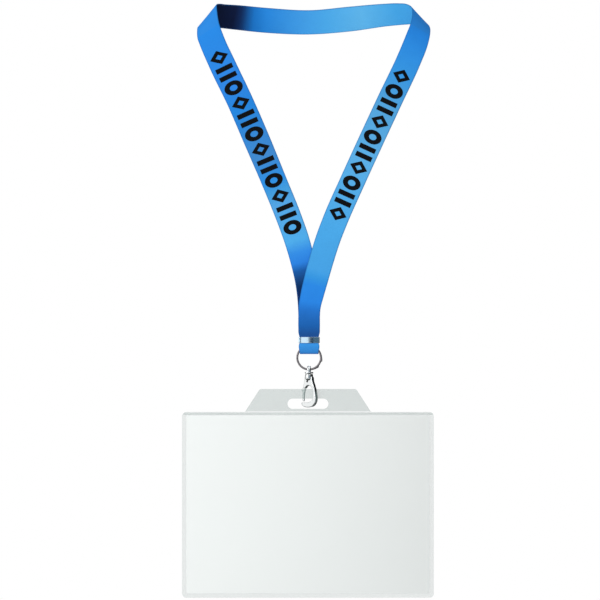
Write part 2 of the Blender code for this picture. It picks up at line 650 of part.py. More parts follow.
def main():
    clear_scene()
    parts = new_collection(COLLECTION)
    cutters = new_collection("cutters")
    cutters.hide_render = True

    build_ribbon(parts)
    build_crimp(parts)
    ring = build_split_ring(parts)
    eye = build_swivel_eye(parts, cutters)
    body, body_tools = build_hook_body(parts, cutters)
    gate, gate_tools = build_gate(parts, cutters)
    pin = build_gate_pin(parts)
    spring = build_gate_spring(parts)
    back = build_back_sheet(parts)
    front, pocket = build_front_sheet(parts, cutters)
    card = build_card(parts)

    # The hook's pieces are built square to the frame, then turned on the swivel's axis.
    turn = Matrix.Translation((0, HANG_Y, 0)) @ Matrix.Rotation(-HOOK_YAW, 4, "Z")
    bpy.context.view_layer.update()
    for piece in (body, gate, pin, spring, *body_tools, *gate_tools):
        piece.matrix_world = turn @ piece.matrix_world

    pin_place = turn @ Matrix.Translation((PIN_U, 0, PIN_Z))
    wire_bottom_z = RING_Z - RING_RADIUS
    ring_axis = joint_empty("ring_axis", (0, HANG_Y, RING_Z))
    eye_axis = joint_empty("eye_axis", (0, HANG_Y, wire_bottom_z), parent=ring_axis)
    swivel_axis = joint_empty("swivel_axis", (0, HANG_Y, HOOK_TOP_Z), parent=eye_axis)
    gate_axis = joint_empty("gate_axis", pin_place.translation, -HOOK_YAW, swivel_axis)
    tilt_axis = joint_empty("tilt_axis", (TILT_X, HOLDER_Y, SLOT_TOP_Z), parent=swivel_axis)
    adopt(ring_axis, ring)
    adopt(eye_axis, eye)
    adopt(swivel_axis, body, pin, spring, *body_tools)
    adopt(gate_axis, gate, *gate_tools)
    adopt(tilt_axis, back, front, pocket, card)


main()
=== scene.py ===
"""Lanyard badge holder: the finished look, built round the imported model.

Every piece is a surface worked out with numpy in the model's own frame (metres, +Z up, the
front towards -Y, the origin on the ribbon's inner face at the nape).
"""
import json
import math

import bpy
import numpy as np
from bpy.props import FloatProperty, FloatVectorProperty, PointerProperty
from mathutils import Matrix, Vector
from mathutils.geometry import tessellate_polygon


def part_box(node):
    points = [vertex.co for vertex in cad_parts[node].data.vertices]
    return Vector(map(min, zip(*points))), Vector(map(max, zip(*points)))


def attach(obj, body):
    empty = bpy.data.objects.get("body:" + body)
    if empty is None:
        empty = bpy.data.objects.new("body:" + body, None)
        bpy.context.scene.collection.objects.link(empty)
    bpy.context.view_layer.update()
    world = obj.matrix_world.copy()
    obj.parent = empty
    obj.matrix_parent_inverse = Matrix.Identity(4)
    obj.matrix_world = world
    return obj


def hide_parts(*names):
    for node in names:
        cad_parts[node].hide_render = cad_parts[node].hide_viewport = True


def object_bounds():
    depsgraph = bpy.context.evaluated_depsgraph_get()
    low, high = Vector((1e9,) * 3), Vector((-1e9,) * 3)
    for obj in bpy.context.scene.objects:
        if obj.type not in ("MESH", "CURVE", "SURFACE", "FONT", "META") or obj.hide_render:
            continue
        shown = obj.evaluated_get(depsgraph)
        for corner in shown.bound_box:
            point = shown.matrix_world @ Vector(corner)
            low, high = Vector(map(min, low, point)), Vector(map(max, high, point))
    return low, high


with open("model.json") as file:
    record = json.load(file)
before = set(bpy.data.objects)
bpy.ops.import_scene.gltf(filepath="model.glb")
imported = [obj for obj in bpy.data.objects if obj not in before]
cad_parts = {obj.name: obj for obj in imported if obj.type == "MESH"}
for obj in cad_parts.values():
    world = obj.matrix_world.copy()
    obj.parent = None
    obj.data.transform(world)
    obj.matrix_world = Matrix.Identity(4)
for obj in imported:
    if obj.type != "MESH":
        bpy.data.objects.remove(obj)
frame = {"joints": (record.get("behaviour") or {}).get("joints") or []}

bl_info = {
    "name": "Lanyard Badge Holder",
    "version": (1, 0, 0),
    "blender": (4, 5, 0),
    "location": "View3D > Sidebar > Lanyard",
    "description": "Woven neck ribbon, crimp, split ring, trigger hook and clear card pocket",
    "category": "Object",
}

MM = 0.001
CAD_BOUNDS = [list(corner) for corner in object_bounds()]


def linear(code):
    """A colour given as an sRGB hex code, in the linear values that shaders read."""
    channels = [int(code[k:k + 2], 16) / 255 for k in (1, 3, 5)]
    return tuple(c / 12.92 if c <= 0.04045 else ((c + 0.055) / 1.055) ** 2.4 for c in channels)


def colour_property(name, description, code):
    return FloatVectorProperty(name=name, description=description, subtype="COLOR", size=3,
                               min=0, max=1, default=linear(code))


def length_property(name, description, millimetres):
    return FloatProperty(name=name, description=description, default=millimetres * MM,
                         subtype="DISTANCE", unit="LENGTH")


def share_property(name, description, share):
    return FloatProperty(name=name, description=description, default=share, min=0, max=1)


# ---------------------------------------------------------------- places taken from the frame

CRIMP_LOW, CRIMP_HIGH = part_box("crimp")
RING_LOW, RING_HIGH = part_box("split_ring")
BACK_LOW, BACK_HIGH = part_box("back_sheet")
FRONT_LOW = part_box("front_sheet")[0]
CARD_LOW, CARD_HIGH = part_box("insert_card")
HANG_Y = (RING_LOW.y + RING_HIGH.y) / 2     # the plane of the straps and the hardware's line
JOINT = {joint["name"]: joint for joint in frame["joints"]}
HOOK_TOP_Z = JOINT["hook_swivel"]["pos_m"][2]
PIN_Z = JOINT["gate_press"]["pos_m"][2]
GATE_AXIS = JOINT["gate_press"]["axis"]
HOOK_YAW = math.atan2(-GATE_AXIS[0], -GATE_AXIS[1])     # the hook's plane, turned from the pocket's


# ---------------------------------------------------------------- settings

class RibbonSettings(bpy.types.PropertyGroup):
    """The woven neck ribbon."""
    thickness: length_property("Thickness", "Thickness of the webbing", 0.8)
    width: length_property("Width", "Width the webbing is cut to", 22.4)
    rib: length_property("Rib spacing", "Spacing of the woven ribs that show", 0.8)
    selvedge: length_property("Selvedge", "Width of the bound edge", 0.7)
    motif: length_property("Motif", "Length of one printed motif", 14.8)
    ink: colour_property("Ink", "Colour of the printed motifs", "#05060A")
    edge: colour_property("Edge", "Colour of the bound edge", "#1C5E9C")
    plain: colour_property("Plain", "Dye of the side that is turned away", "#2B88DF")


class MetalSettings(bpy.types.PropertyGroup):
    """The crimp, ring and hook."""
    nickel: colour_property("Nickel", "Plated sheet of the crimp", "#D3EEFE")
    steel: colour_property("Spring steel", "Wire of the split ring", "#9A9395")
    chrome: colour_property("Chrome", "Plated casting of the hook", "#EFF2F2")
    pin: colour_property("Pin", "Bare steel of the gate's pin", "#2A2A2C")
    rim: length_property("Rim", "Rounding of the casting's edges", 0.65)
    gate_rim: length_property("Gate rim", "Rounding of the gate's edges", 0.35)


class HolderSettings(bpy.types.PropertyGroup):
    """The clear pocket and its card."""
    weld: length_property("Weld", "Width of the welded border", 3.3)
    hem: length_property("Hem", "Width of the pressed line along the mouth", 2.2)
    vinyl: colour_property("Vinyl", "Tint of the clear sheet", "#9DB0AC")
    card: colour_property("Card", "Blank card stock", "#FBFDFC")
    back_cover: share_property("Back haze", "Share of light each face of the back stops", 0.27)
    # The weld haze also sets the clearer strip just under the mouth, a painted highlight.
    weld_and_highlight_cover: share_property("Weld haze", "The same where the sheets are welded", 0.12)
    front_cover: share_property("Front haze", "Share of light each face of the window stops", 0.05)


class StageSettings(bpy.types.PropertyGroup):
    """Camera, lights and floor."""
    lens: FloatProperty(name="Lens", description="Focal length in millimetres", default=1000)
    distance: length_property("Distance", "From the camera to the straps", 14667)
    floor_drop: length_property("Floor drop", "From the pocket down to the floor", 220)
    floor: colour_property("Floor", "Pale floor", "#F4F5F5")
    sky: FloatProperty(name="Room light", description="Strength of the even light", default=0.56)
    key: FloatProperty(name="Key light", description="Power of the large lamp", default=10.5,
                       subtype="POWER", unit="POWER")


# ---------------------------------------------------------------- surfaces

def unit(vectors):
    """The vectors, or one vector, brought to length 1."""
    return vectors / np.linalg.norm(vectors, axis=-1, keepdims=True)


def grid_faces(rows, columns, wrap=True):
    """Corner numbers of the quads of a grid of points, row by row, the columns closed if wrap."""
    row, column = np.meshgrid(np.arange(rows - 1), np.arange(columns - (not wrap)), indexing="ij")
    after = (column + 1) % columns
    quads = np.stack((row * columns + column, row * columns + after,
                      (row + 1) * columns + after, (row + 1) * columns + column), axis=-1)
    return quads.reshape(-1, 4)


def signed_volume(points, faces):
    """Sum over each face's fan of triangles of a . (b x c) / 6: positive if faces look outwards."""
    total = 0.0
    for size in {len(face) for face in faces}:
        corners = points[np.array([face for face in faces if len(face) == size])]
        for k in range(1, size - 1):
            total += np.einsum("ij,ij->", corners[:, 0], np.cross(corners[:, k], corners[:, k + 1]))
    return total / 6


def new_piece(name, points, faces, finish, smooth=35, uv=None, dye_and_light=None):
    """A mesh object from arrays. Faces are turned over together if the volume comes out negative.
    uv holds a pair for each corner of each face, and the last argument a colour for each point, a dye
    with painted light and shade in it."""
    points = np.asarray(points, float).reshape(-1, 3)
    faces = [tuple(int(k) for k in face) for face in faces]
    if signed_volume(points, faces) < 0:
        faces = [face[::-1] for face in faces]
        if uv is not None:
            uv = [corner[::-1] for corner in uv]
    mesh = bpy.data.meshes.new(name)
    mesh.from_pydata(points.tolist(), [], faces)
    if uv is not None:
        layer = mesh.uv_layers.new(name="along_and_across")
        layer.data.foreach_set("uv", np.concatenate([np.ravel(corner) for corner in uv]))
    if dye_and_light is not None:
        colours = np.concatenate((dye_and_light.reshape(-1, 3), np.ones((len(points), 1))), axis=1)
        mesh.attributes.new("dye_and_light", "FLOAT_COLOR", "POINT").data.foreach_set("color", colours.ravel())
    mesh.update()
    mesh.shade_smooth()
    mesh.set_sharp_from_angle(angle=math.radians(smooth))
    piece = bpy.data.objects.new(name, mesh)
    bpy.context.scene.collection.objects.link(piece)
    mesh.materials.append(finish)
    return piece


def joined(*shells):
    """Several (points, faces) shells as one, their faces renumbered."""
    points, faces, start = [], [], 0
    for shell_points, shell_faces in shells:
        shell_points = np.asarray(shell_points, float).reshape(-1, 3)
        if signed_volume(shell_points, shell_faces) < 0:
            shell_faces = [tuple(face)[::-1] for face in shell_faces]
        points.append(shell_points)
        faces += [tuple(int(k) + start for k in face) for face in shell_faces]
        start += len(shell_points)
    return np.concatenate(points), faces


def carried(path, across, outward, section):
    """A closed section carried along a path: point (i, j) = path_i + a_j across_i + b_j outward_i,
    with (a, b) the section's points, the same all along or one set for each row. Flat end caps."""
    section = np.broadcast_to(section, (len(path),) + np.shape(section)[-2:])
    points = path[:, None] + section[..., :1] * across[:, None] + section[..., 1:] * outward[:, None]
    rows, columns = points.shape[:2]
    faces = [tuple(face) for face in grid_faces(rows, columns)]
    faces.append(tuple(range(columns))[::-1])
    faces.append(tuple(range((rows - 1) * columns, rows * columns)))
    return points.reshape(-1, 3), faces


def ellipse(half_a, half_b, steps):
    """Points (a cos t, b sin t) once round."""
    turn = np.linspace(0, 2 * math.pi, steps, endpoint=False)
    return np.stack((half_a * np.cos(turn), half_b * np.sin(turn)), axis=1)


def rounded_box(half_a, half_b, power, steps):
    """Points of |x/a|^p + |y/b|^p = 1: a rectangle whose corners round off as p falls to 2."""
    turn = np.linspace(0, 2 * math.pi, steps, endpoint=False)
    cos, sin = np.cos(turn), np.sin(turn)
    return np.stack((half_a * np.sign(cos) * np.abs(cos) ** (2 / power),
                     half_b * np.sign(sin) * np.abs(sin) ** (2 / power)), axis=1)


def turned(profile, steps=48):
    """A profile of (radius, z) pairs turned about Z: (r cos t, r sin t, z). Its ends lie on the
    axis, where a fan of triangles closes each pole."""
    profile = np.asarray(profile, float)
    turn = np.linspace(0, 2 * math.pi, steps, endpoint=False)
    radius, height = profile[1:-1, 0], profile[1:-1, 1]
    ring = np.stack((radius[:, None] * np.cos(turn), radius[:, None] * np.sin(turn),
                     np.broadcast_to(height[:, None], (len(radius), steps))), axis=-1)
    points = np.concatenate((ring.reshape(-1, 3), [(0, 0, profile[0, 1]), (0, 0, profile[-1, 1])]))
    faces = [tuple(face) for face in grid_faces(len(radius), steps)]
    last, first_pole, last_pole = (len(radius) - 1) * steps, len(points) - 2, len(points) - 1
    for k in range(steps):
        after = (k + 1) % steps
        faces.append((k, first_pole, after))
        faces.append((last + k, last + after, last_pole))
    return points, faces


def soft_profile(corners, radius, steps=4):
    """A profile's corners (r, z), each rounded by a quadratic curve that starts radius away."""
    corners = np.asarray(corners, float)
    out = [corners[0]]
    for before, here, after in zip(corners, corners[1:], corners[2:]):
        into, away = before - here, after - here
        reach = min(radius, np.linalg.norm(into) / 2, np.linalg.norm(away) / 2)
        for t in np.linspace(0, 1, steps + 1):
            out.append(here + unit(into) * reach * (1 - t) ** 2 + unit(away) * reach * t ** 2)
    return out + [corners[-1]]


def closed_curve(knots, steps):
    """A closed Catmull-Rom curve through the knots, as one array."""
    knots = np.asarray(knots, float)
    before, after, beyond = np.roll(knots, 1, 0), np.roll(knots, -1, 0), np.roll(knots, -2, 0)
    t = (np.arange(steps) / steps)[None, :, None]
    here, before, after, beyond = knots[:, None], before[:, None], after[:, None], beyond[:, None]
    curve = 0.5 * (2 * here + (after - before) * t
                   + (2 * before - 5 * here + 4 * after - beyond) * t ** 2
                   + (3 * here - before - 3 * after + beyond) * t ** 3)
    return curve.reshape(-1, 2)


def inset(outline, distance):
    """The outline's points moved inwards along its normals."""
    following, previous = np.roll(outline, -1, 0), np.roll(outline, 1, 0)
    along = unit(following - previous)
    area = np.sum(outline[:, 0] * following[:, 1] - following[:, 0] * outline[:, 1])
    inward = np.stack((-along[:, 1], along[:, 0]), axis=1) * np.sign(area)
    return outline + inward * distance


def rim_rows(half, radius, steps):
    """(inset, height) pairs from one flat face to the other round a rim of the given radius."""
    turn = np.linspace(0, math.pi / 2, steps + 1)
    lower = [(radius * (1 - math.sin(a)), -half + radius * (1 - math.cos(a))) for a in turn]
    return lower + [(step, -height) for step, height in lower[::-1]]


def slab(outlines, rows):
    """A plate in the (u, z) plane. Each outline is carried through the (inset, w) rows, a hole's
    inset being outwards into the plate, and both flats are filled. Points are (u, w, z)."""
    points, faces, first_loops, last_loops, start = [], [], [], [], 0
    for number, outline in enumerate(outlines):
        side = 1 if number == 0 else -1
        rings = np.stack([np.insert(inset(outline, side * step), 1, w, axis=1) for step, w in rows])
        count = len(outline)
        points.append(rings.reshape(-1, 3))
        flip = np.sum(outline[:, 0] * np.roll(outline[:, 1], -1)
                      - np.roll(outline[:, 0], -1) * outline[:, 1]) * side > 0
        quads = grid_faces(len(rows), count) + start
        faces += [tuple(q[::-1]) if flip else tuple(q) for q in quads]
        first_loops.append(np.arange(count) + start)
        last_loops.append(np.arange(count) + start + (len(rows) - 1) * count)
        start += len(rows) * count
    points = np.concatenate(points)
    for loops, outward in ((first_loops, -1), (last_loops, 1)):
        numbers = np.concatenate(loops)
        flat = [[Vector((points[k][0], points[k][2], 0)) for k in loop] for loop in loops]
        for triangle in tessellate_polygon(flat):
            a, b, c = (numbers[k] for k in triangle)
            facing = np.cross(points[b] - points[a], points[c] - points[a])[1]
            faces.append((a, b, c) if facing * outward > 0 else (a, c, b))
    return points, faces


def applied(target, tool, operation):
    """The target joined with or cut by the tool, as its own mesh. The tool is removed."""
    modifier = target.modifiers.new("shape", "BOOLEAN")
    modifier.operation = operation
    modifier.object = tool
    evaluated = target.evaluated_get(bpy.context.evaluated_depsgraph_get())
    mesh = bpy.data.meshes.new_from_object(evaluated)
    target.modifiers.clear()
    target.data = mesh
    bpy.data.objects.remove(tool)
    mesh.shade_smooth()
    mesh.set_sharp_from_angle(angle=math.radians(30))
    return target


# ---------------------------------------------------------------- materials

def node(tree, kind, inputs=(), **settings):
    """Adds a shader node. inputs maps an input's name or number to a value or to an output to link."""
    added = tree.nodes.new(kind)
    for key, value in settings.items():
        setattr(added, key, value)
    for key, value in dict(inputs).items():
        if isinstance(value, bpy.types.NodeSocket):
            tree.links.new(value, added.inputs[key])
        else:
            added.inputs[key].default_value = value
    return added


def new_material(name, colour, roughness, metallic=0.0, **uniform):
    """A Principled material with its even values on the shader's own sockets."""
    made = bpy.data.materials.new(name)
    made.use_nodes = True
    shader = made.node_tree.nodes["Principled BSDF"]
    shader.inputs["Base Color"].default_value = (*colour, 1)
    shader.inputs["Roughness"].default_value = roughness
    shader.inputs["Metallic"].default_value = metallic
    for key, value in uniform.items():
        shader.inputs[key.replace("_", " ")].default_value = value
    made.diffuse_color = (*colour, 1)
    return made, made.node_tree, shader


WAVES_PER_UNIT = 20 / (2 * math.pi)     # a band texture of scale 1 has this many bands a unit
MIX_FACTOR, MIX_A, MIX_B, MIX_RESULT = 0, 6, 7, 2   # a Mix node's sockets for colours


def maths(tree, operation, *values):
    """What one Math node gives for its values, which are numbers or outputs to link."""
    return node(tree, "ShaderNodeMath", dict(enumerate(values)), operation=operation).outputs[0]


def spread(tree, value, low, high, first=0.0, last=1.0):
    """The value's stretch from first to last laid over low to high, and held inside it."""
    return node(tree, "ShaderNodeMapRange", {"Value": value, "From Min": first, "From Max": last,
                                             "To Min": low, "To Max": high}).outputs[0]


def noise(tree, place, scale, detail):
    """Soft noise from 0 to 1."""
    return node(tree, "ShaderNodeTexNoise", {"Vector": place, "Scale": scale,
                                             "Detail": detail}).outputs["Fac"]


def scaled(tree, colour, shade):
    """The colour multiplied by the shade."""
    return node(tree, "ShaderNodeVectorMath", {0: colour, "Scale": shade}, operation="SCALE").outputs[0]


def mixed(tree, share, first, second):
    """The first colour going over to the second, which is a setting, with the share."""
    return node(tree, "ShaderNodeMix", {MIX_FACTOR: share, MIX_A: first, MIX_B: (*second, 1)},
                data_type="RGBA").outputs[MIX_RESULT]


def bumped(tree, shader, height, millimetres, strength):
    """Raises the shader's surface by the millimetres where the height is 1."""
    bump = node(tree, "ShaderNodeBump", {"Strength": strength, "Distance": millimetres * MM,
                                         "Height": height})
    tree.links.new(bump.outputs["Normal"], shader.inputs["Normal"])


def woven_polyester(settings, prints):
    """Dye-printed polyester webbing: ribs across and a finer warp along, a bound edge that takes
    the dye darker, and black transfer print. The dye comes with painted light and shade, and the
    ribs' valleys are painted a little darker, a painted shade. The eye sees a soft sheen with a fine
    grain.
    The threads lie 0.3 mm apart, too fine to tell apart at arm's length, so the ribs are drawn at
    the spacing in the settings."""
    roughness, sheen, glossier_ink = 0.62, 0.08, -0.15
    made, tree, shader = new_material("woven_polyester_ribbon", settings.plain, roughness,
                                      Specular_IOR_Level=sheen)
    place = node(tree, "ShaderNodeUVMap", uv_map="along_and_across").outputs["UV"]
    split = node(tree, "ShaderNodeSeparateXYZ", {"Vector": place})
    along, across = split.outputs["X"], split.outputs["Y"]
    # The points' colours: the dye with painted light and shade in it, darker where shade falls and
    # paler where light falls.
    dye_and_light = node(tree, "ShaderNodeAttribute", attribute_name="dye_and_light").outputs["Color"]

    scale = 1 / (settings.rib / MM * WAVES_PER_UNIT)
    ribs = node(tree, "ShaderNodeTexWave", {"Vector": place, "Scale": scale, "Distortion": 0.4,
                                            "Detail": 1.0}, bands_direction="X").outputs["Fac"]
    warp = node(tree, "ShaderNodeTexWave", {"Vector": place, "Scale": scale * 1.4},
                bands_direction="Y").outputs["Fac"]
    weave = maths(tree, "MULTIPLY", ribs, warp)
    level = maths(tree, "MULTIPLY_ADD", noise(tree, place, 0.09, 3.0), 0.10, 0.92)
    # The ribs are painted up to 8% darker in their valleys than on their crowns, a painted shade; level
    # is a random tone.
    dyed_and_shaded = scaled(tree, dye_and_light, maths(tree, "MULTIPLY_ADD", weave, 0.08, level))

    # The bound edge: within the selvedge's width of the ribbon's own edge, on either side.
    half, bend = settings.width / MM / 2, math.pi * settings.thickness / MM / 4
    away = maths(tree, "SUBTRACT", maths(tree, "ABSOLUTE", across), half + bend)
    away = maths(tree, "ABSOLUTE", away)
    bound = spread(tree, away, 0.0, 0.5, bend + settings.selvedge / MM, bend)
    dyed_and_shaded = mixed(tree, bound, dyed_and_shaded, settings.edge)

    ink = printed_motifs(tree, along, across, settings, prints)
    tree.links.new(mixed(tree, ink, dyed_and_shaded, settings.ink), shader.inputs["Base Color"])
    matt = maths(tree, "MULTIPLY_ADD", ink, glossier_ink, roughness)
    tree.links.new(matt, shader.inputs["Roughness"])
    bumped(tree, shader, weave, 0.06, 0.3)
    return made


def printed_motifs(tree, along, across, settings, prints):
    """Black motifs in a row: a diamond frame, a pair of bars and a ring, over and over, on each of
    the printed stretches (start, end) of the ribbon's outer side. Returns the share of ink."""
    pitch = settings.motif / MM
    tall = 0.375 * settings.width / MM
    wide = 0.41 * pitch
    total = None
    for start, end in prints:
        cell = maths(tree, "DIVIDE", maths(tree, "SUBTRACT", along, start), pitch)
        number = maths(tree, "FLOOR", cell)
        part = maths(tree, "SUBTRACT", maths(tree, "SUBTRACT", cell, number), 0.5)
        x = maths(tree, "ABSOLUTE", maths(tree, "MULTIPLY", part, pitch / wide))
        y = maths(tree, "ABSOLUTE", maths(tree, "DIVIDE", across, tall))

        diamond = maths(tree, "COMPARE", maths(tree, "ADD", x, y), 0.72, 0.32)
        bars = maths(tree, "MULTIPLY", maths(tree, "COMPARE", x, 0.65, 0.36),
                     maths(tree, "LESS_THAN", y, 0.96))
        squares = [maths(tree, "POWER", side, 2.0) for side in (x, y)]
        ring = maths(tree, "COMPARE", maths(tree, "SQRT", maths(tree, "ADD", *squares)), 0.72, 0.30)

        shapes = (diamond, bars, ring)
        kind = maths(tree, "FLOORED_MODULO", number, len(shapes))
        within = maths(tree, "COMPARE", along, (start + end) / 2, (end - start) / 2)
        for index, shape in enumerate(shapes):
            chosen = maths(tree, "MULTIPLY", maths(tree, "COMPARE", kind, index, 0.5), within)
            shape = maths(tree, "MULTIPLY", shape, chosen)
            total = shape if total is None else maths(tree, "MAXIMUM", total, shape)
    return total


# The spacing in millimetres of what each material's noise draws.
WEAR_SPACING = 0.12
VINYL_WAVE_SPACING = 9
VINYL_CLOUD_SPACING = 30
FIBRE_SPACING = 0.8


def plated_metal(name, colour, roughness, grain=0.4):
    """Bright plating on a pressed or cast blank. The eye sees a mirror that is not quite even:
    grain is the spacing in millimetres of the faint waves, over them lie finer wear marks."""
    made, tree, shader = new_material(name, colour, roughness, 1.0)
    place = node(tree, "ShaderNodeTexCoord").outputs["Object"]
    marks = noise(tree, place, 1 / (WEAR_SPACING * MM), 4.0)
    smoothest, roughest = 0.75 * roughness, 1.35 * roughness
    tree.links.new(spread(tree, marks, smoothest, roughest), shader.inputs["Roughness"])
    tree.links.new(scaled(tree, colour, spread(tree, marks, 0.9, 1.05)), shader.inputs["Base Color"])
    bumped(tree, shader, noise(tree, place, 1 / (grain * MM), 2.0), 0.05, 0.06)
    return made


# The strip between the mouth and the pressed line, clearer than the haze around it, is a painted
# highlight: the mouth's edge catching light.
MOUTH_LOW_Z, MOUTH_HIGH_Z = -342.6 * MM, -342.2 * MM    # the haze clears from here down
HAZE_LINE_Z, HAZE_LINE_HALF = -344.7 * MM, 1.0 * MM     # but for a pressed line under the mouth


def clear_vinyl(name, settings, cover, welded_and_highlight_cover):
    """Soft clear PVC sheet, calendered, so its gloss waves a little. It passes most light and
    adds a pale grey-green haze. cover is the share that each of its faces stops above the mouth,
    welded_and_highlight_cover below, where the two sheets lie on each other with no air between, and
    also in a strip just under the mouth down to the pressed line: that clearer strip is a painted
    highlight, the mouth's edge catching light."""
    made, tree, shader = new_material(name, settings.vinyl, 0.22, IOR=1.53)
    place = node(tree, "ShaderNodeTexCoord").outputs["Object"]
    haze = noise(tree, place, 1 / (VINYL_CLOUD_SPACING * MM), 4.0)
    tone = scaled(tree, settings.vinyl, spread(tree, haze, 0.95, 1.05))
    tree.links.new(tone, shader.inputs["Base Color"])
    height = node(tree, "ShaderNodeSeparateXYZ", {"Vector": place}).outputs["Z"]
    # The clearer strip under the mouth, down to the pressed line, is a painted highlight.
    above = spread(tree, height, 0.0, 1.0, MOUTH_LOW_Z, MOUTH_HIGH_Z)
    line = maths(tree, "COMPARE", height, HAZE_LINE_Z, HAZE_LINE_HALF)
    stopped = spread(tree, maths(tree, "MAXIMUM", above, line), welded_and_highlight_cover, cover)
    tree.links.new(stopped, shader.inputs["Alpha"])
    bumped(tree, shader, noise(tree, place, 1 / (VINYL_WAVE_SPACING * MM), 2.0), 0.1, 0.15)
    return made


def card_stock(colour):
    """Uncoated white card: matt, with the fine tooth and faint cloudiness of paper fibre."""
    made, tree, shader = new_material("uncoated_card", colour, 0.75, Specular_IOR_Level=0.25)
    place = node(tree, "ShaderNodeTexCoord").outputs["Object"]
    fibre = noise(tree, place, 1 / (FIBRE_SPACING * MM), 5.0)
    tone = scaled(tree, colour, spread(tree, fibre, 0.985, 1.01))
    tree.links.new(tone, shader.inputs["Base Color"])
    bumped(tree, shader, fibre, 0.03, 0.1)
    return made


def pale_floor(colour):
    """Matt painted board: even, with a slight mottle."""
    made, tree, shader = new_material("painted_floor", colour, 0.85)
    place = node(tree, "ShaderNodeTexCoord").outputs["Object"]
    tone = scaled(tree, colour, spread(tree, noise(tree, place, 6.0, 4.0), 0.97, 1.0))
    tree.links.new(tone, shader.inputs["Base Color"])
    return made


# ---------------------------------------------------------------- ribbon

# Each strap's middle line in the straps' plane, from the shoulder down to the crimp:
# (x, z, half width) in millimetres. The ribbon is gathered as it nears the crimp.
LEFT_STRAP = [
    (-76.9, -36.1, 11.5), (-61.3, -68.6, 11.4), (-46.0, -103.8, 11.5), (-31.2, -139.0, 11.1),
    (-17.0, -174.2, 11.1), (-10.8, -191.8, 11.0), (-5.9, -209.4, 10.7), (-2.2, -227.0, 10.3),
    (-0.4, -243.0, 9.9), (0.0, -258.0, 9.5), (0.0, -269.0, 9.5), (0.0, -273.9, 9.3),
    (0.0, -276.6, 8.6), (0.0, -281.6, 8.5)]
RIGHT_STRAP = [
    (71.2, -68.6, 11.0), (54.8, -103.8, 11.0), (38.7, -139.0, 11.0), (23.1, -174.2, 11.0),
    (16.4, -191.8, 10.9), (10.9, -209.4, 10.8), (6.0, -227.0, 10.6), (2.7, -240.0, 10.2),
    (0.6, -250.0, 9.7), (0.0, -260.0, 9.5), (0.0, -269.0, 9.5), (0.0, -273.9, 9.3),
    (0.0, -276.6, 8.6), (0.0, -282.6, 8.5)]

# The folds over the shoulders and the band round the nape, from the right strap to the left:
# pairs of points on the ribbon's two edges, in millimetres, y from the straps' plane back.
# The first point of a pair is the inner edge of a strap, which becomes the band's top edge.
SHOULDERS_AND_NAPE = [
    ((77.9, -1.5, -29.0), (97.7, 1.0, -37.8)),
    ((85.6, -1.5, -10.5), (104.4, 3.0, -20.4)),
    ((89.2, 0.8, -1.2), (106.5, 6.2, -11.2)),
    ((90.7, 4.6, 6.8), (106.5, 11.2, -5.2)),
    ((90.2, 9.6, 13.0), (104.4, 16.2, -2.2)),
    ((86.2, 14.0, 15.9), (98.4, 20.6, -1.4)),
    ((78.6, 18.6, 16.8), (88.0, 26.6, -1.6)),
    ((66.4, 24.6, 16.5), (72.0, 33.6, -2.8)),
    ((36.0, 35.2, 14.2), (37.6, 44.8, -7.4)),
    ((0.0, 41.4, 11.1), (0.0, 51.1, -10.1)),
    ((-36.0, 35.8, 13.0), (-37.4, 45.0, -8.8)),
    ((-63.6, 25.4, 15.4), (-68.8, 33.2, -5.8)),
    ((-73.4, 19.6, 15.9), (-83.0, 23.4, -4.4)),
    ((-79.2, 14.2, 16.3), (-93.0, 15.4, -3.8)),
    ((-81.2, 9.2, 15.4), (-97.6, 9.0, -4.4)),
    ((-80.8, 4.2, 8.2), (-98.6, 3.8, -8.2)),
    ((-79.0, 1.2, -1.8), (-98.2, 0.8, -14.4)),
    ((-75.6, 0.2, -11.2), (-96.6, 0.0, -19.2))]

# The fold round the split ring and the tail behind the crimp, in millimetres.
LAYER_PITCH = 1.1
TAIL_TOP_Z = -273.8
LOOP_RADIUS = 1.7
LOOP_BOTTOM_Z = -291.8
LOOP_HALF = 8.3
LOOP_SPREAD = 9.0
PINCH_HALF = 8.5
LOOP_STRAIGHT = 0.1                     # how far the layers stay straight below the crimp
LOOP_FLARE = 1.6                        # and how soon they have spread after that
STEPS = 10                              # rows of points between two stations
FRONT_LAYER_ROWS = 5 * STEPS            # the part of the fold that shows in front, under the crimp
SHOULDER_ROWS = 2 * STEPS               # the part of each shoulder's fold dyed, and painted with light and shade, as its strap is
BAND_FADE_ROWS = 4 * STEPS              # over which the band's dye and painted light and shade go over to the plain dye

# The dye along the ribbon with painted light and shade in it, by the height (or on the band the
# distance to the right) in millimetres where it lies: the straps' outer sides, then the band's inner
# side.
# The darker stops are painted shade: near the crimp, where the left strap passes under the right, and
# at the band's left end behind the left shoulder's fold. The palest stops are painted highlights.
RIGHT_DYE_AND_LIGHT = [(-291.8, "#2E78C4"), (-289.5, "#3386D2"), (-283.2, "#3897E7"), (-281.6, "#1A4F93"),
             (-274.6, "#1A4F93"), (-267.5, "#185FAD"), (-260.5, "#1E69BC"), (-253.4, "#2172CB"),
             (-246.4, "#2784E3"), (-232.0, "#2988E4"), (-225.3, "#3496E1"), (-218.2, "#45A1E4"),
             (-181.0, "#49A8E8"), (-121.0, "#5AAEE6"), (-75.7, "#52A3DB"), (-45.0, "#3597E4"),
             (-12.0, "#278AE7")]
BAND_DYE_AND_LIGHT = [(-82.0, "#0B1A3C"), (-66.0, "#0D1D44"), (-59.0, "#11346A"), (-48.5, "#1D7DD4"),
            (-37.9, "#298DE5"), (-6.2, "#42A0EA"), (14.9, "#4AA9E9"), (46.6, "#5DB4E9"),
            (78.2, "#45A7E6")]
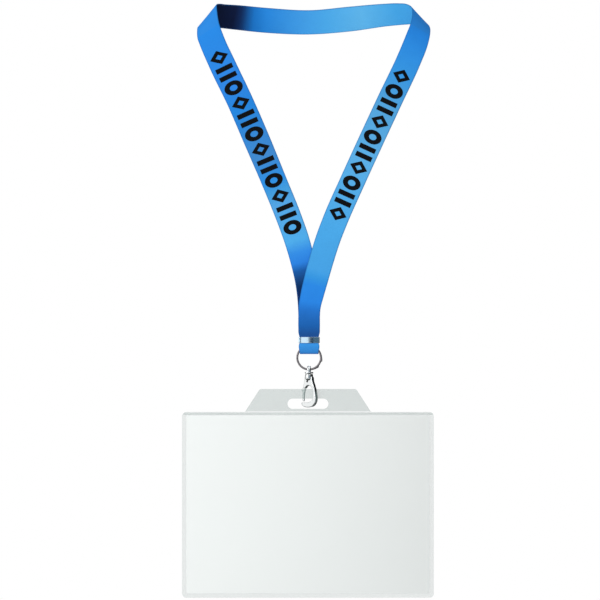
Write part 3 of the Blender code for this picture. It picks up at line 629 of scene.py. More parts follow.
LEFT_DYE_AND_LIGHT = [(-239.0, "#032660"), (-232.0, "#022C5C"), (-225.3, "#11427D"), (-218.2, "#1658A2"),
            (-211.2, "#2980DF"), (-202.4, "#328CE4"), (-191.8, "#4DABE9"), (-160.0, "#52A3E2"),
            (-149.6, "#429CDB"), (-139.0, "#2A8DE0"), (-118.0, "#3D86CB"), (-75.7, "#2082D9"),
            (-54.6, "#2C83E0"), (-12.0, "#2587E2")]
RIGHT_PRINT = (-176.0, -40.5)           # heights between which each strap is printed
LEFT_PRINT = (-187.4, -24.6)


def strap_stations(rows, y, inner_side):
    """Edge pairs across a strap, square to its middle line: the inner edge comes first."""
    rows = np.array(rows) * MM
    along = unit(np.gradient(rows[:, :2], axis=0))
    across = np.stack((-along[:, 1], 0 * along[:, 0], along[:, 0]), axis=1) * inner_side * rows[:, 2:]
    middle = np.stack((rows[:, 0], np.full(len(rows), y), rows[:, 1]), axis=1)
    return np.stack((middle + across, middle - across), axis=1)


def level_stations(rows):
    """Level edge pairs from (y, z, half width) rows: the left edge comes first."""
    y, z, half = np.array(rows).T
    return np.stack((np.stack((-half, y, z), axis=1), np.stack((half, y, z), axis=1)), axis=1)


def loop_stations():
    """The tail behind the crimp and the half circle round the ring, as far as the front layer."""
    straight = CRIMP_LOW.z - LOOP_STRAIGHT * MM
    flare = straight - LOOP_FLARE * MM
    radius, fold_z, pinch = LOOP_RADIUS * MM, (LOOP_BOTTOM_Z + LOOP_RADIUS) * MM, PINCH_HALF * MM
    back = HANG_Y + LAYER_PITCH * MM
    rows = [(back, z, pinch) for z in (TAIL_TOP_Z * MM, CRIMP_HIGH.z, straight)]
    spread = LOOP_SPREAD * MM
    rows += [(HANG_Y + radius, z, spread) for z in (flare, (flare + fold_z) / 2)]
    rows += [(HANG_Y + radius * math.cos(a), fold_z - radius * math.sin(a), LOOP_HALF * MM)
             for a in np.radians((0, 30, 60, 90, 120, 150, 180))]
    rows += [(HANG_Y - radius, z, spread) for z in ((flare + fold_z) / 2, flare)]
    return level_stations(rows)


def smooth_strip(stations):
    """Hermite curves along both edges: h00 p + h10 L m + h01 q + h11 L n on each stretch of length
    L from p to q, with tangents m, n from the neighbouring stretches."""
    step = np.linalg.norm(np.diff(stations.mean(axis=1), axis=0), axis=1)
    slope = np.diff(stations, axis=0) / step[:, None, None]
    weight = (step[1:] / (step[:-1] + step[1:]))[:, None, None]
    tangent = np.concatenate((slope[:1], slope[:-1] * weight + slope[1:] * (1 - weight), slope[-1:]))
    t = (np.arange(STEPS) / STEPS)[None, :, None, None]
    length = step[:, None, None, None]
    rows = ((2 * t ** 3 - 3 * t ** 2 + 1) * stations[:-1, None]
            + (t ** 3 - 2 * t ** 2 + t) * length * tangent[:-1, None]
            + (3 * t ** 2 - 2 * t ** 3) * stations[1:, None]
            + (t ** 3 - t ** 2) * length * tangent[1:, None])
    return np.concatenate((rows.reshape(-1, 2, 3), stations[-1:]))


def webbing_section():
    """The webbing's section from the middle of its inner side, round the first edge, over the outer
    side and back: columns are the share of the flat half width, and the bend's (across, out)."""
    flat = np.linspace(0, 1, 8)
    bend = np.radians(np.linspace(-90, 90, 7))[1:-1]
    first_edge = np.stack((-np.ones(5), -np.cos(bend), np.sin(bend)), axis=1)
    inner = np.stack((-flat, 0 * flat, 0 * flat - 1), axis=1)
    outer = np.stack((2 * np.linspace(0, 1, 15) - 1, np.zeros(15), np.ones(15)), axis=1)
    other_edge = first_edge[::-1] * (-1, -1, 1)
    back = inner[:0:-1] * (-1, 1, 1)
    return np.concatenate((inner, first_edge, outer, other_edge, back))


def dye_and_light_along(place, stops, at):
    """Linear colours interpolated between stops (place, hex) at the given places."""
    places, codes = zip(*stops)
    colours = np.array([linear(code) for code in codes])
    return np.stack([np.interp(at, places, colours[:, k]) for k in range(3)], axis=1)


def ribbon_uv(settings, place):
    """Each face's corners as (distance along, distance round from the outer side's middle) in
    millimetres; place holds the distance along of each row of points."""
    flat, edge, side = webbing_section().T
    width = settings.width / MM
    round_edge = math.pi * (settings.thickness / 2) / MM
    outer = flat * width / 2 + np.sign(flat) * round_edge / 2 * (1 - side) / 2 * (np.abs(edge) > 0)
    inner = np.where(flat > 0, 1, -1) * (width + round_edge - np.abs(flat) * width / 2)
    around = np.where(side < -0.99, inner, outer)
    around = np.append(around, -around[0])
    columns = len(flat)
    row = np.repeat(np.arange(len(place) - 1), columns)
    column = np.tile(np.arange(columns), len(place) - 1)
    corners = np.stack([np.stack((place[r], around[c]), axis=1) for r, c in (
        (row, column), (row, column + 1), (row + 1, column + 1), (row + 1, column))], axis=1)
    caps = [np.stack((np.full(columns, at), np.full(columns, width / 2)), axis=1)
            for at in place[[0, -1]]]
    return [corners, *caps]


def ribbon_dye_and_light(settings, middle, right_start, over_start, left_start):
    """The dye of each point, with painted light and shade in it. The front layer and right strap take
    theirs by height, the left strap likewise, the band by its distance to the right; the other side of
    each stretch keeps the plain dye, with no painted light."""
    plain = np.tile(np.array(settings.plain), (len(middle), 1))
    outer_dye_and_light, inner_dye_and_light = plain.copy(), plain.copy()
    x, z = middle[:, 0] / MM, middle[:, 2] / MM
    front = slice(right_start - FRONT_LAYER_ROWS, over_start + SHOULDER_ROWS)
    outer_dye_and_light[front] = dye_and_light_along(z, RIGHT_DYE_AND_LIGHT, z[front])
    left_dyed_and_lit = slice(left_start - SHOULDER_ROWS, len(z))
    outer_dye_and_light[left_dyed_and_lit] = dye_and_light_along(z, LEFT_DYE_AND_LIGHT, z[left_dyed_and_lit])
    band = slice(over_start, left_start)
    row_of_band = np.arange(left_start - over_start)
    to_its_end = np.minimum(row_of_band, row_of_band[::-1])
    fade = np.clip(to_its_end / BAND_FADE_ROWS, 0, 1)[:, None]
    inner_dye_and_light[band] += (dye_and_light_along(x, BAND_DYE_AND_LIGHT, x[band]) - inner_dye_and_light[band]) * fade
    share = ((webbing_section()[:, 2] + 1) / 2)[None, :, None]
    return outer_dye_and_light[:, None] * share + inner_dye_and_light[:, None] * (1 - share)


def printed_stretches(settings, place, z, right_start, over_start, left_start):
    """Where each strap's print starts and ends along the ribbon, a whole number of motifs."""
    strap = np.arange(right_start, over_start)
    right_print = np.interp(np.array(RIGHT_PRINT), z[strap], place[strap])
    strap = np.arange(left_start - SHOULDER_ROWS, len(z))[::-1]
    left_print = np.interp(np.array(LEFT_PRINT), z[strap], place[strap])[::-1]
    motif = settings.motif / MM
    stretches = []
    for start, end in (right_print, left_print):
        spare = (end - start - round((end - start) / motif) * motif) / 2
        stretches.append((start + spare, end - spare))
    return stretches


def ribbon_surface(settings):
    """The section carried along the strip: point = middle + s across + t out, where across joins
    the strip's two edges and out = across x along. Returns points, faces, uv, the point colours (dye
    with painted light and shade), the printed stretches and the whole length, the last two in
    millimetres."""
    right = strap_stations(RIGHT_STRAP, HANG_Y - LAYER_PITCH * MM, -1)
    left = strap_stations(LEFT_STRAP, HANG_Y, 1)
    loop = loop_stations()
    over = np.array(SHOULDERS_AND_NAPE) * MM + (0, HANG_Y, 0)
    edges = smooth_strip(np.concatenate((loop, right[::-1], over, left)))
    starts = [STEPS * n for n in (
        len(loop), len(loop) + len(right), len(loop) + len(right) + len(over))]

    middle = edges.mean(axis=1)
    half = np.linalg.norm(edges[:, 1] - edges[:, 0], axis=1) / 2
    across = (edges[:, 1] - edges[:, 0]) / (2 * half[:, None])
    out = unit(np.cross(across, np.gradient(middle, axis=0)))
    bend = settings.thickness / 2
    flat, edge, side = webbing_section().T
    section = np.stack((flat * (half[:, None] - bend) + edge * bend,
                        np.broadcast_to(side * bend, (len(half), len(side)))), axis=-1)
    points, faces = carried(middle, across, out, section)

    lengths = np.linalg.norm(np.diff(middle, axis=0), axis=1)
    place = np.concatenate(([0], np.cumsum(lengths))) / MM
    dye_and_light = ribbon_dye_and_light(settings, middle, *starts)
    prints = printed_stretches(settings, place, middle[:, 2] / MM, *starts)
    return points, faces, ribbon_uv(settings, place), dye_and_light, prints, place[-1]


class LANYARD_OT_ribbon(bpy.types.Operator):
    """Makes the woven ribbon: one strip from its tail through the ring, round the neck and back"""
    bl_idname = "lanyard.ribbon"
    bl_label = "Ribbon"

    def execute(self, context):
        settings = context.scene.lanyard_ribbon
        points, faces, uv, dye_and_light, prints, length = ribbon_surface(settings)
        finish = woven_polyester(settings, prints)
        ribbon = new_piece("woven_ribbon", points, faces, finish, 50, uv, dye_and_light)
        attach(ribbon, "lanyard")
        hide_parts("lanyard_ribbon")
        return {"FINISHED"}


# ---------------------------------------------------------------- crimp and ring

CRIMP_SHEET = 0.5 * MM
CRIMP_BOW = 0.45 * MM                   # how far the pressed faces swell at their middles
CRIMP_SEAM = 1.2 * MM
CRIMP_POWER = 8                         # squareness of its outline seen from above, and of its edge
CRIMP_GROOVE_AT, CRIMP_GROOVE_WIDTH = 0.42, 0.12    # as shares of the half height
CRIMP_GROOVE_DEPTH = 0.09 * MM


def crimp_surface():
    """A strip of sheet carried round |x/a|^p + |y/b|^p = 1, its section a thin rounded upright
    whose middle is pressed in by two faint grooves; the ends meet at a seam behind."""
    half_width = CRIMP_HIGH.x - CRIMP_SHEET / 2
    half_depth = (CRIMP_HIGH.y - CRIMP_LOW.y - CRIMP_SHEET) / 2 - CRIMP_BOW
    # A point's x is half_width times the fourth root of the cosine of its turn, so the flats need
    # turns of their own, even in x up to most of the half width; even turns serve the two ends.
    most, end_steps = 0.9, 41
    flat = np.arcsin(np.linspace(CRIMP_SEAM / 2 / half_width, most, 14) ** (CRIMP_POWER // 2))
    behind, before, behind_again = math.pi / 2, 3 * math.pi / 2, math.pi / 2 + 2 * math.pi
    turn = np.unique(np.concatenate((
        behind + flat, np.linspace(behind + flat[-1], before - flat[-1], end_steps), before - flat,
        before + flat, np.linspace(before + flat[-1], behind_again - flat[-1], end_steps),
        behind_again - flat)).round(9))
    cos, sin = np.cos(turn), np.sin(turn)
    power = 2 / CRIMP_POWER
    x = half_width * np.sign(cos) * np.abs(cos) ** power
    y = half_depth * np.sign(sin) * np.abs(sin) ** power
    y += np.sign(sin) * CRIMP_BOW * (1 - (x / half_width) ** 2)
    path = np.stack((x, y, 0 * x), axis=1)
    middle_y, middle_z = (CRIMP_LOW.y + CRIMP_HIGH.y) / 2, (CRIMP_LOW.z + CRIMP_HIGH.z) / 2
    up = np.tile((0.0, 0.0, 1.0), (len(path), 1))
    out = np.cross(unit(np.gradient(path, axis=0)), up)
    half_height = (CRIMP_HIGH.z - CRIMP_LOW.z) / 2
    section = rounded_box(half_height, CRIMP_SHEET / 2, CRIMP_POWER, 56)
    from_groove = np.abs(section[:, 0] / half_height) - CRIMP_GROOVE_AT
    grooves = np.exp(-(from_groove / CRIMP_GROOVE_WIDTH) ** 2) * CRIMP_GROOVE_DEPTH
    section[:, 1] -= np.where(section[:, 1] > 0, 1, 0) * grooves
    return carried(path + (0, middle_y, middle_z), up, out, section)


class LANYARD_OT_crimp(bpy.types.Operator):
    """Makes the pressed metal band round the ribbon's layers"""
    bl_idname = "lanyard.crimp"
    bl_label = "Crimp"

    def execute(self, context):
        settings = context.scene.lanyard_metal
        points, faces = crimp_surface()
        finish = plated_metal("nickel_plated_sheet", settings.nickel, 0.10, grain=1.5)
        crimp = new_piece("pressed_crimp", points, faces, finish, 40)
        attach(crimp, "lanyard")
        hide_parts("crimp")
        return {"FINISHED"}


RING_WIRE_RADIAL = 1.8 * MM
RING_WIRE_AXIAL = 0.86 * MM
RING_TURN_PITCH = 0.96 * MM
RING_JOG_ANGLE = math.radians(-30)      # where the wire's two free ends lie
RING_END_GAP = math.radians(12)
RING_JOG_HALF = math.radians(9)
RING_END_SPRING = 0.9 * MM              # how far the free ends stand out
RING_END_REACH = math.radians(38)
RING_END_SHARE = 0.55                   # of the wire's size that is left at its very ends
RING_END_TAPER = 0.8 * MM
RING_WIRE_POWER = 3.2                   # squareness of the wire's section


def ring_surface():
    """Two flat turns: point = (R cos t, y(t), R sin t), y stepping once by the turns' pitch between
    the free ends, which spring outwards a little. The wire's section is a rounded upright that
    tapers at both ends."""
    centre_z = (RING_LOW.z + RING_HIGH.z) / 2
    radius = RING_HIGH.x - RING_WIRE_RADIAL / 2
    turn = np.linspace(RING_END_GAP, 4 * math.pi - RING_END_GAP, 321)
    step = np.clip((turn - 2 * math.pi) / RING_JOG_HALF, -1, 1)
    axial = RING_TURN_PITCH / 2 * step * (3 - step ** 2) / 2
    angle = RING_JOG_ANGLE + turn
    away = np.stack((np.cos(angle), 0 * angle, np.sin(angle)), axis=1)
    axis = np.tile((0.0, 1.0, 0.0), (len(turn), 1))
    spring = RING_END_SPRING * (np.clip(1 - (turn - turn[0]) / RING_END_REACH, 0, 1) ** 2
                                + np.clip(1 - (turn[-1] - turn) / RING_END_REACH, 0, 1) ** 2)
    path = (radius + spring)[:, None] * away + axial[:, None] * axis + (0, HANG_Y, centre_z)
    to_end = radius * np.minimum(turn - turn[0], turn[-1] - turn)
    full = np.sqrt(1 - np.clip(1 - to_end / RING_END_TAPER, 0, 1) ** 2)
    taper = RING_END_SHARE + (1 - RING_END_SHARE) * full
    wire = rounded_box(RING_WIRE_RADIAL / 2, RING_WIRE_AXIAL / 2, RING_WIRE_POWER, 20)
    return carried(path, away, axis, wire[None] * taper[:, None, None])


class LANYARD_OT_ring(bpy.types.Operator):
    """Makes the split ring of two flat turns of spring wire"""
    bl_idname = "lanyard.ring"
    bl_label = "Split ring"

    def execute(self, context):
        settings = context.scene.lanyard_metal
        points, faces = ring_surface()
        finish = plated_metal("tempered_spring_steel", settings.steel, 0.26, grain=0.8)
        ring = new_piece("ring_of_two_turns", points, faces, finish, 60)
        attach(ring, "ring")
        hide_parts("split_ring")
        return {"FINISHED"}


# ---------------------------------------------------------------- swivel and hook

EYE_HOLE_RADIUS = 1.9 * MM
EYE_HOLE_TOP_Z = -304.3 * MM
EYE_BAR_TOP = 1.9 * MM
EYE_BAR_SIDE = 1.5 * MM
EYE_WIDTH = 3.2 * MM
FLANGE_RADIUS = 3.7 * MM
FLANGE_TOP_Z = -308.0 * MM
FLANGE_BOTTOM_Z = -309.3 * MM
FLANGE_CROWN = 0.15 * MM
FLANGE_ROUNDING = 0.45 * MM
EYE_FOOT_DEPTH = 0.4 * MM               # how far the stirrup's feet stand in the flange
STEM_RADIUS = 1.3 * MM
RIVET_RADIUS = 2.1 * MM
RIVET_TOP_Z = -311.9 * MM
RIVET_BOTTOM_Z = -312.7 * MM
RUNNING_GAP = 0.3 * MM
HOOK_THICKNESS = 3.6 * MM
BARREL_RADIUS = 3.5 * MM
BARREL_BOTTOM_Z = -314.5 * MM
BARREL_ROUNDING = 1.3 * MM
BARREL_POINT = 2.2 * MM                 # how far the barrel's lower end narrows into the hook
CHEEK_SLOT = 2.0 * MM
GATE_THICKNESS = 1.4 * MM
PIN_U = -0.8 * MM
PIN_RADIUS = 0.8 * MM
PIN_HOLE_RADIUS = 0.95 * MM
PIN_CROWN = 0.25 * MM
PIN_ROUNDING = 0.2 * MM
SPRING_U = 1.1 * MM
SPRING_TOP_Z = -313.9 * MM
SPRING_BOTTOM_Z = -315.2 * MM
SPRING_RADIUS = 0.5 * MM
SPRING_WIRE = 0.2 * MM
SPRING_TURNS = 3

# The hook's body in its own plane, (u, z) in millimetres: down the spine on the right, under
# the bend, round the tip and back up the inside, then down and up the left cheek.
HOOK_OUTLINE = [
    (3.4, -312.0), (4.6, -316.1), (6.6, -321.8), (7.9, -327.4), (8.3, -331.6), (7.2, -335.4),
    (4.2, -338.3), (0.0, -339.1), (-4.2, -338.6), (-6.9, -336.6), (-7.2, -334.9),
    (-5.2, -334.8), (-2.6, -334.8), (0.0, -334.7), (2.9, -333.6), (4.5, -331.3), (4.9, -328.0),
    (4.7, -324.4), (3.3, -321.2), (0.8, -319.8), (-1.6, -320.4), (-3.2, -322.1), (-5.2, -321.9),
    (-5.0, -319.4), (-4.1, -316.1), (-3.4, -312.0)]

# The room between the cheeks for the gate's root and its spring, (u, z) in millimetres.
GATE_ROOM = [(0.2, -314.3), (0.2, -313.7), (2.3, -313.7), (2.3, -318.0), (1.2, -321.5),
             (-9.0, -324.0), (-9.0, -314.3)]

# The gate in the same plane: its root round the pin, the heel under the spring on the right,
# the thumb nub on the left and the lever down to the hook's tip.
GATE_OUTLINE = [
    (-0.8, -314.8), (0.6, -315.5), (1.9, -315.5), (1.9, -316.6), (0.6, -317.4), (-1.7, -319.8),
    (-3.4, -322.8), (-4.4, -326.0), (-4.9, -330.0), (-5.0, -333.2), (-5.4, -333.7),
    (-6.2, -333.7), (-6.7, -333.1), (-7.0, -331.0), (-6.9, -327.0), (-7.0, -325.0),
    (-7.8, -323.6), (-6.8, -322.5), (-4.6, -319.4), (-2.3, -315.9)]


def in_hook_plane(points):
    """From the hook's own (u, w, z) to the frame: x = u cos a + w sin a, y = w cos a - u sin a."""
    u, w, z = np.asarray(points, float).T
    cos, sin = math.cos(HOOK_YAW), math.sin(HOOK_YAW)
    return np.stack((u * cos + w * sin, HANG_Y - u * sin + w * cos, z), axis=1)


def on_the_line(points):
    """From round Z to the hardware's own vertical line."""
    return np.asarray(points, float) + (0, HANG_Y, 0)


def swivel_surface():
    """A bar of elliptic section carried up, over the ring's wire in a half circle and down, and a
    turned flange with the stem and its riveted end."""
    centre_z = EYE_HOLE_TOP_Z - EYE_HOLE_RADIUS
    foot_z = FLANGE_TOP_Z - EYE_FOOT_DEPTH
    turn = np.radians(np.linspace(0, 180, 33))
    bar = EYE_BAR_SIDE + (EYE_BAR_TOP - EYE_BAR_SIDE) * np.sin(turn) ** 2
    reach = EYE_HOLE_RADIUS + bar / 2
    leg_rows = 6
    legs = np.linspace(foot_z, centre_z, leg_rows + 1)[:-1]
    one = np.ones(leg_rows)
    y = np.concatenate((one * reach[0], reach * np.cos(turn), one * -reach[-1]))
    z = np.concatenate((legs, centre_z + reach * np.sin(turn), legs[::-1]))
    thick = np.concatenate((one * bar[0], bar, one * bar[-1]))
    path = np.stack((0 * y, y, z), axis=1)
    along = unit(np.gradient(path, axis=0))
    sideways = np.tile((1.0, 0.0, 0.0), (len(path), 1))
    stretch = np.stack((np.ones(len(path)), thick), axis=1)
    section = ellipse(EYE_WIDTH / 2, 0.5, 24)[None] * stretch[:, None]
    bar_shell = carried(path, sideways, np.cross(sideways, along), section)
    stem_and_flange = turned(soft_profile([
        (0, FLANGE_TOP_Z + FLANGE_CROWN), (FLANGE_RADIUS, FLANGE_TOP_Z),
        (FLANGE_RADIUS, FLANGE_BOTTOM_Z), (STEM_RADIUS, FLANGE_BOTTOM_Z), (STEM_RADIUS, RIVET_TOP_Z),
        (RIVET_RADIUS, RIVET_TOP_Z), (RIVET_RADIUS, RIVET_BOTTOM_Z), (0, RIVET_BOTTOM_Z)],
        FLANGE_ROUNDING))
    points, faces = joined(bar_shell, stem_and_flange)
    return on_the_line(points), faces


class LANYARD_OT_swivel(bpy.types.Operator):
    """Makes the swivel: the stirrup round the ring on its flange and riveted stem"""
    bl_idname = "lanyard.swivel"
    bl_label = "Swivel"

    def execute(self, context):
        settings = context.scene.lanyard_metal
        points, faces = swivel_surface()
        finish = plated_metal("chrome_plated_swivel", settings.chrome, 0.12, grain=0.9)
        swivel = new_piece("swivel_stirrup", points, faces, finish, 40)
        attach(swivel, "swivel")
        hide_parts("swivel_eye")
        return {"FINISHED"}


def circle(centre, radius, steps=32):
    return ellipse(radius, radius, steps) + centre


def cast_hook(settings, finish):
    """The outline carried round a rim of the given radius, joined with the turned barrel, then cut
    for the swivel's stem, the gate between the cheeks and the pin."""
    outline = closed_curve(np.array(HOOK_OUTLINE) * MM, 6)
    points, faces = slab([outline], rim_rows(HOOK_THICKNESS / 2, settings.rim, 6))
    body = new_piece("trigger_hook", in_hook_plane(points), faces, finish)
    barrel_points, barrel_faces = turned(soft_profile([
        (0, HOOK_TOP_Z), (BARREL_RADIUS, HOOK_TOP_Z), (BARREL_RADIUS, BARREL_BOTTOM_Z),
        (0, BARREL_BOTTOM_Z - BARREL_POINT)], BARREL_ROUNDING, 8))
    barrel = new_piece("barrel", on_the_line(barrel_points), barrel_faces, finish)
    applied(body, barrel, "UNION")
    bore, chamber = STEM_RADIUS + RUNNING_GAP, RIVET_RADIUS + RUNNING_GAP
    above = HOOK_TOP_Z + 1 * MM             # past the barrel's top, so the bore is open
    roof, bottom = RIVET_TOP_Z + RUNNING_GAP, RIVET_BOTTOM_Z - RUNNING_GAP
    room_points, room_faces = turned([
        (0, above), (bore, above), (bore, roof), (chamber, roof), (chamber, bottom), (0, bottom)])
    applied(body, new_piece("stem_room", on_the_line(room_points), room_faces, finish), "DIFFERENCE")
    half = CHEEK_SLOT / 2
    points, faces = slab([np.array(GATE_ROOM) * MM], [(0, -half), (0, half)])
    applied(body, new_piece("gate_room", in_hook_plane(points), faces, finish), "DIFFERENCE")
    points, faces = slab([circle((PIN_U, PIN_Z), PIN_HOLE_RADIUS)],
                         [(0, -HOOK_THICKNESS), (0, HOOK_THICKNESS)])
    return applied(body, new_piece("pin_room", in_hook_plane(points), faces, finish), "DIFFERENCE")


class LANYARD_OT_hook(bpy.types.Operator):
    """Makes the cast trigger hook with its pin and spring"""
    bl_idname = "lanyard.hook"
    bl_label = "Hook"

    def execute(self, context):
        settings = context.scene.lanyard_metal
        chrome = plated_metal("chrome_plated_zinc", settings.chrome, 0.12, grain=1.2)
        hook = cast_hook(settings, chrome)
        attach(hook, "hook")
        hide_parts("hook_body")

        half = HOOK_THICKNESS / 2
        pin_points, pin_faces = turned(soft_profile([
            (0, half), (PIN_RADIUS, half - PIN_CROWN), (PIN_RADIUS, PIN_CROWN - half), (0, -half)],
            PIN_ROUNDING), 32)
        pin_points = pin_points[:, (0, 2, 1)] + (PIN_U, 0, PIN_Z)
        steel = plated_metal("bare_steel_pin", settings.pin, 0.35)
        pin = new_piece("gate_rivet", in_hook_plane(pin_points), pin_faces, steel)
        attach(pin, "hook")
        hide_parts("gate_pin")

        turn = np.linspace(0, 2 * math.pi * SPRING_TURNS, 24 * SPRING_TURNS + 1)
        out = np.stack((np.cos(turn), np.sin(turn), 0 * turn), axis=1)
        up = np.tile((0.0, 0.0, 1.0), (len(turn), 1))
        wire_radius = SPRING_WIRE / 2
        heights = np.linspace(SPRING_TOP_Z - wire_radius, SPRING_BOTTOM_Z + wire_radius, len(turn))
        path = SPRING_RADIUS * out + up * heights[:, None] + (SPRING_U, 0, 0)
        coil_points, coil_faces = carried(path, out, up, ellipse(wire_radius, wire_radius, 10))
        wire = plated_metal("music_wire", settings.steel, 0.3)
        spring = new_piece("gate_coil", in_hook_plane(coil_points), coil_faces, wire, 60)
        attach(spring, "hook")
        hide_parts("gate_spring")
        return {"FINISHED"}


class LANYARD_OT_gate(bpy.types.Operator):
    """Makes the sprung gate, a plated lever with a thumb nub"""
    bl_idname = "lanyard.gate"
    bl_label = "Gate"

    def execute(self, context):
        settings = context.scene.lanyard_metal
        outline = closed_curve(np.array(GATE_OUTLINE) * MM, 4)
        hole = circle((PIN_U, PIN_Z), PIN_HOLE_RADIUS)
        points, faces = slab([outline, hole], rim_rows(GATE_THICKNESS / 2, settings.gate_rim, 4))
        finish = plated_metal("chrome_plated_strip", settings.chrome, 0.16, grain=0.9)
        gate = new_piece("thumb_gate", in_hook_plane(points), faces, finish)
        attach(gate, "gate")
        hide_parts("hook_gate")
        return {"FINISHED"}


# ---------------------------------------------------------------- holder

POUCH_TOP_Z = -343.1 * MM
TAB_TOP_HALF = 42.4 * MM
TAB_BASE_HALF = 55.5 * MM
TAB_CORNER = 2.5 * MM
POUCH_CORNER = 4.0 * MM
SLOT_TOP_Z = -331.4 * MM
SLOT_BOTTOM_Z = -340.4 * MM
SLOT_HALF = 18.0 * MM
SHEET_EDGE = 0.22 * MM                  # rounding of the back's cut edge
POCKET_DEPTH = 0.6 * MM                 # from the window's face to the pocket's floor
LEAST_CORNER = 0.5 * MM
MOUTH_START, MOUTH_RUN = 3 * MM, 2 * MM     # where the pocket opens below the top, over what length
MOUTH_SIDE = 0.3 * MM
CARD_CORNER = 1.5 * MM
CARD_EDGE = 0.06 * MM
# Rings of the window from its outline in: the share of the weld's width, the depth in millimetres.
WINDOW_FRONT = ((0.0, 0.62), (0.03, 0.30), (0.12, 0.22), (0.75, 0.20), (0.80, 0.12), (0.86, 0.02),
                (0.93, 0.0), (1.0, 0.10), (1.06, 0.16))
WINDOW_REAR = ((0.0, 1.0), (0.03, 1.3), (0.98, 1.3), (1.0, 1.2), (1.0, 0.6))
HOLDER_X = (BACK_LOW.x + BACK_HIGH.x) / 2
POUCH_HALF = (BACK_HIGH.x - BACK_LOW.x) / 2


def rounded(corners, steps=10):
    """A closed outline through (x, z, radius) corners. Each becomes steps + 1 points on the arc
    that touches both sides: corner + d r / sin h, d the corner's bisector and h half its angle."""
    outline = []
    for index, (x, z, radius) in enumerate(corners):
        here = np.array((x, z))
        before = np.array(corners[index - 1][:2]) - here
        after = np.array(corners[(index + 1) % len(corners)][:2]) - here
        before, after = unit(before), unit(after)
        half = math.acos(np.clip(before @ after, -1, 1)) / 2
        centre = here + unit(before + after) * radius / math.sin(half)
        start = here + before * radius / math.tan(half) - centre
        end = here + after * radius / math.tan(half) - centre
        first = math.atan2(start[1], start[0])
        sweep = (math.atan2(end[1], end[0]) - first + math.pi) % (2 * math.pi) - math.pi
        turn = first + sweep * np.linspace(0, 1, steps + 1)
        outline.append(centre + radius * np.stack((np.cos(turn), np.sin(turn)), axis=1))
    return np.concatenate(outline)


def rounded_rectangle(left, right, low, high, radius, steps=10):
    corners = ((left, low), (right, low), (right, high), (left, high))
    return rounded([(x, z, radius) for x, z in corners], steps)


def pouch_outline(drawn_in, top):
    """The pouch's rounded rectangle drawn in on all sides, at the top by its own amount."""
    return rounded_rectangle(
        HOLDER_X - POUCH_HALF + drawn_in, HOLDER_X + POUCH_HALF - drawn_in, BACK_LOW.z + drawn_in,
        POUCH_TOP_Z - top, max(LEAST_CORNER, POUCH_CORNER - drawn_in))


def back_surface():
    """The panel with its tab, a plate with softly cut edges, and the slot punched through."""
    left, right = HOLDER_X - POUCH_HALF, HOLDER_X + POUCH_HALF
    outline = rounded([
        (left, BACK_LOW.z, POUCH_CORNER), (right, BACK_LOW.z, POUCH_CORNER),
        (right, POUCH_TOP_Z, POUCH_CORNER),
        (HOLDER_X + TAB_BASE_HALF, POUCH_TOP_Z, TAB_CORNER),
        (HOLDER_X + TAB_TOP_HALF, BACK_HIGH.z, TAB_CORNER),
        (HOLDER_X - TAB_TOP_HALF, BACK_HIGH.z, TAB_CORNER),
        (HOLDER_X - TAB_BASE_HALF, POUCH_TOP_Z, TAB_CORNER),
        (left, POUCH_TOP_Z, POUCH_CORNER)])
    radius = (SLOT_TOP_Z - SLOT_BOTTOM_Z) / 2
    ends = SLOT_HALF - radius
    turn = np.linspace(-math.pi / 2, math.pi / 2, 17)
    cap = np.stack((ends + radius * np.cos(turn), radius * np.sin(turn)), axis=1)
    slot = np.concatenate((cap, -cap)) + (HOLDER_X, (SLOT_TOP_Z + SLOT_BOTTOM_Z) / 2)
    half = (BACK_HIGH.y - BACK_LOW.y) / 2
    points, faces = slab([outline, slot], rim_rows(half, SHEET_EDGE, 3))
    return points + (0, (BACK_HIGH.y + BACK_LOW.y) / 2, 0), faces


def window_surface(settings):
    """The front sheet as rings that follow the pouch's outline inwards: a rounded edge, the pressed
    weld with its raised bead, then the flat window; behind, the pocket's floor, open at the top."""
    face, weld = FRONT_LOW.y, settings.weld
    rings = []
    for share, depth in WINDOW_FRONT[::-1]:
        ring = pouch_outline(weld * share, settings.hem * share)
        rings.append(np.insert(ring, 1, face + depth * MM, axis=1))
    for share, depth in WINDOW_REAR:
        ring = pouch_outline(weld * share, 0)
        mouth = np.clip((ring[:, 1] - (POUCH_TOP_Z - MOUTH_START)) / MOUTH_RUN, 0, 1)
        inside = np.clip((POUCH_HALF - weld - np.abs(ring[:, 0] - HOLDER_X)) / MOUTH_SIDE, 0, 1)
        y = face + depth * MM
        y = np.minimum(y, y + (face + POCKET_DEPTH - y) * mouth * inside)
        rings.append(np.insert(ring, 1, y, axis=1))
    rings = np.array(rings)
    count = rings.shape[1]
    faces = [tuple(q[::-1]) for q in grid_faces(len(rings), count)]
    faces.append(tuple(range(count)))
    faces.append(tuple(range((len(rings) - 1) * count, len(rings) * count))[::-1])
    return rings.reshape(-1, 3), faces


class LANYARD_OT_pocket(bpy.types.Operator):
    """Makes the clear pocket: the back with its tab, and the window welded to it"""
    bl_idname = "lanyard.pocket"
    bl_label = "Pocket"

    def execute(self, context):
        settings = context.scene.lanyard_holder
        for name, surface, node_name, cover, welded_and_highlight_cover in (
                ("vinyl_back", back_surface(), "back_sheet", settings.back_cover, settings.weld_and_highlight_cover),
                ("vinyl_window", window_surface(settings), "front_sheet", settings.front_cover,
                 settings.front_cover)):
            finish = clear_vinyl(f"clear_pvc_{name}", settings, cover, welded_and_highlight_cover)
            sheet = new_piece(name, *surface, finish, 30)
            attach(sheet, "holder")
            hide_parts(node_name)
        return {"FINISHED"}


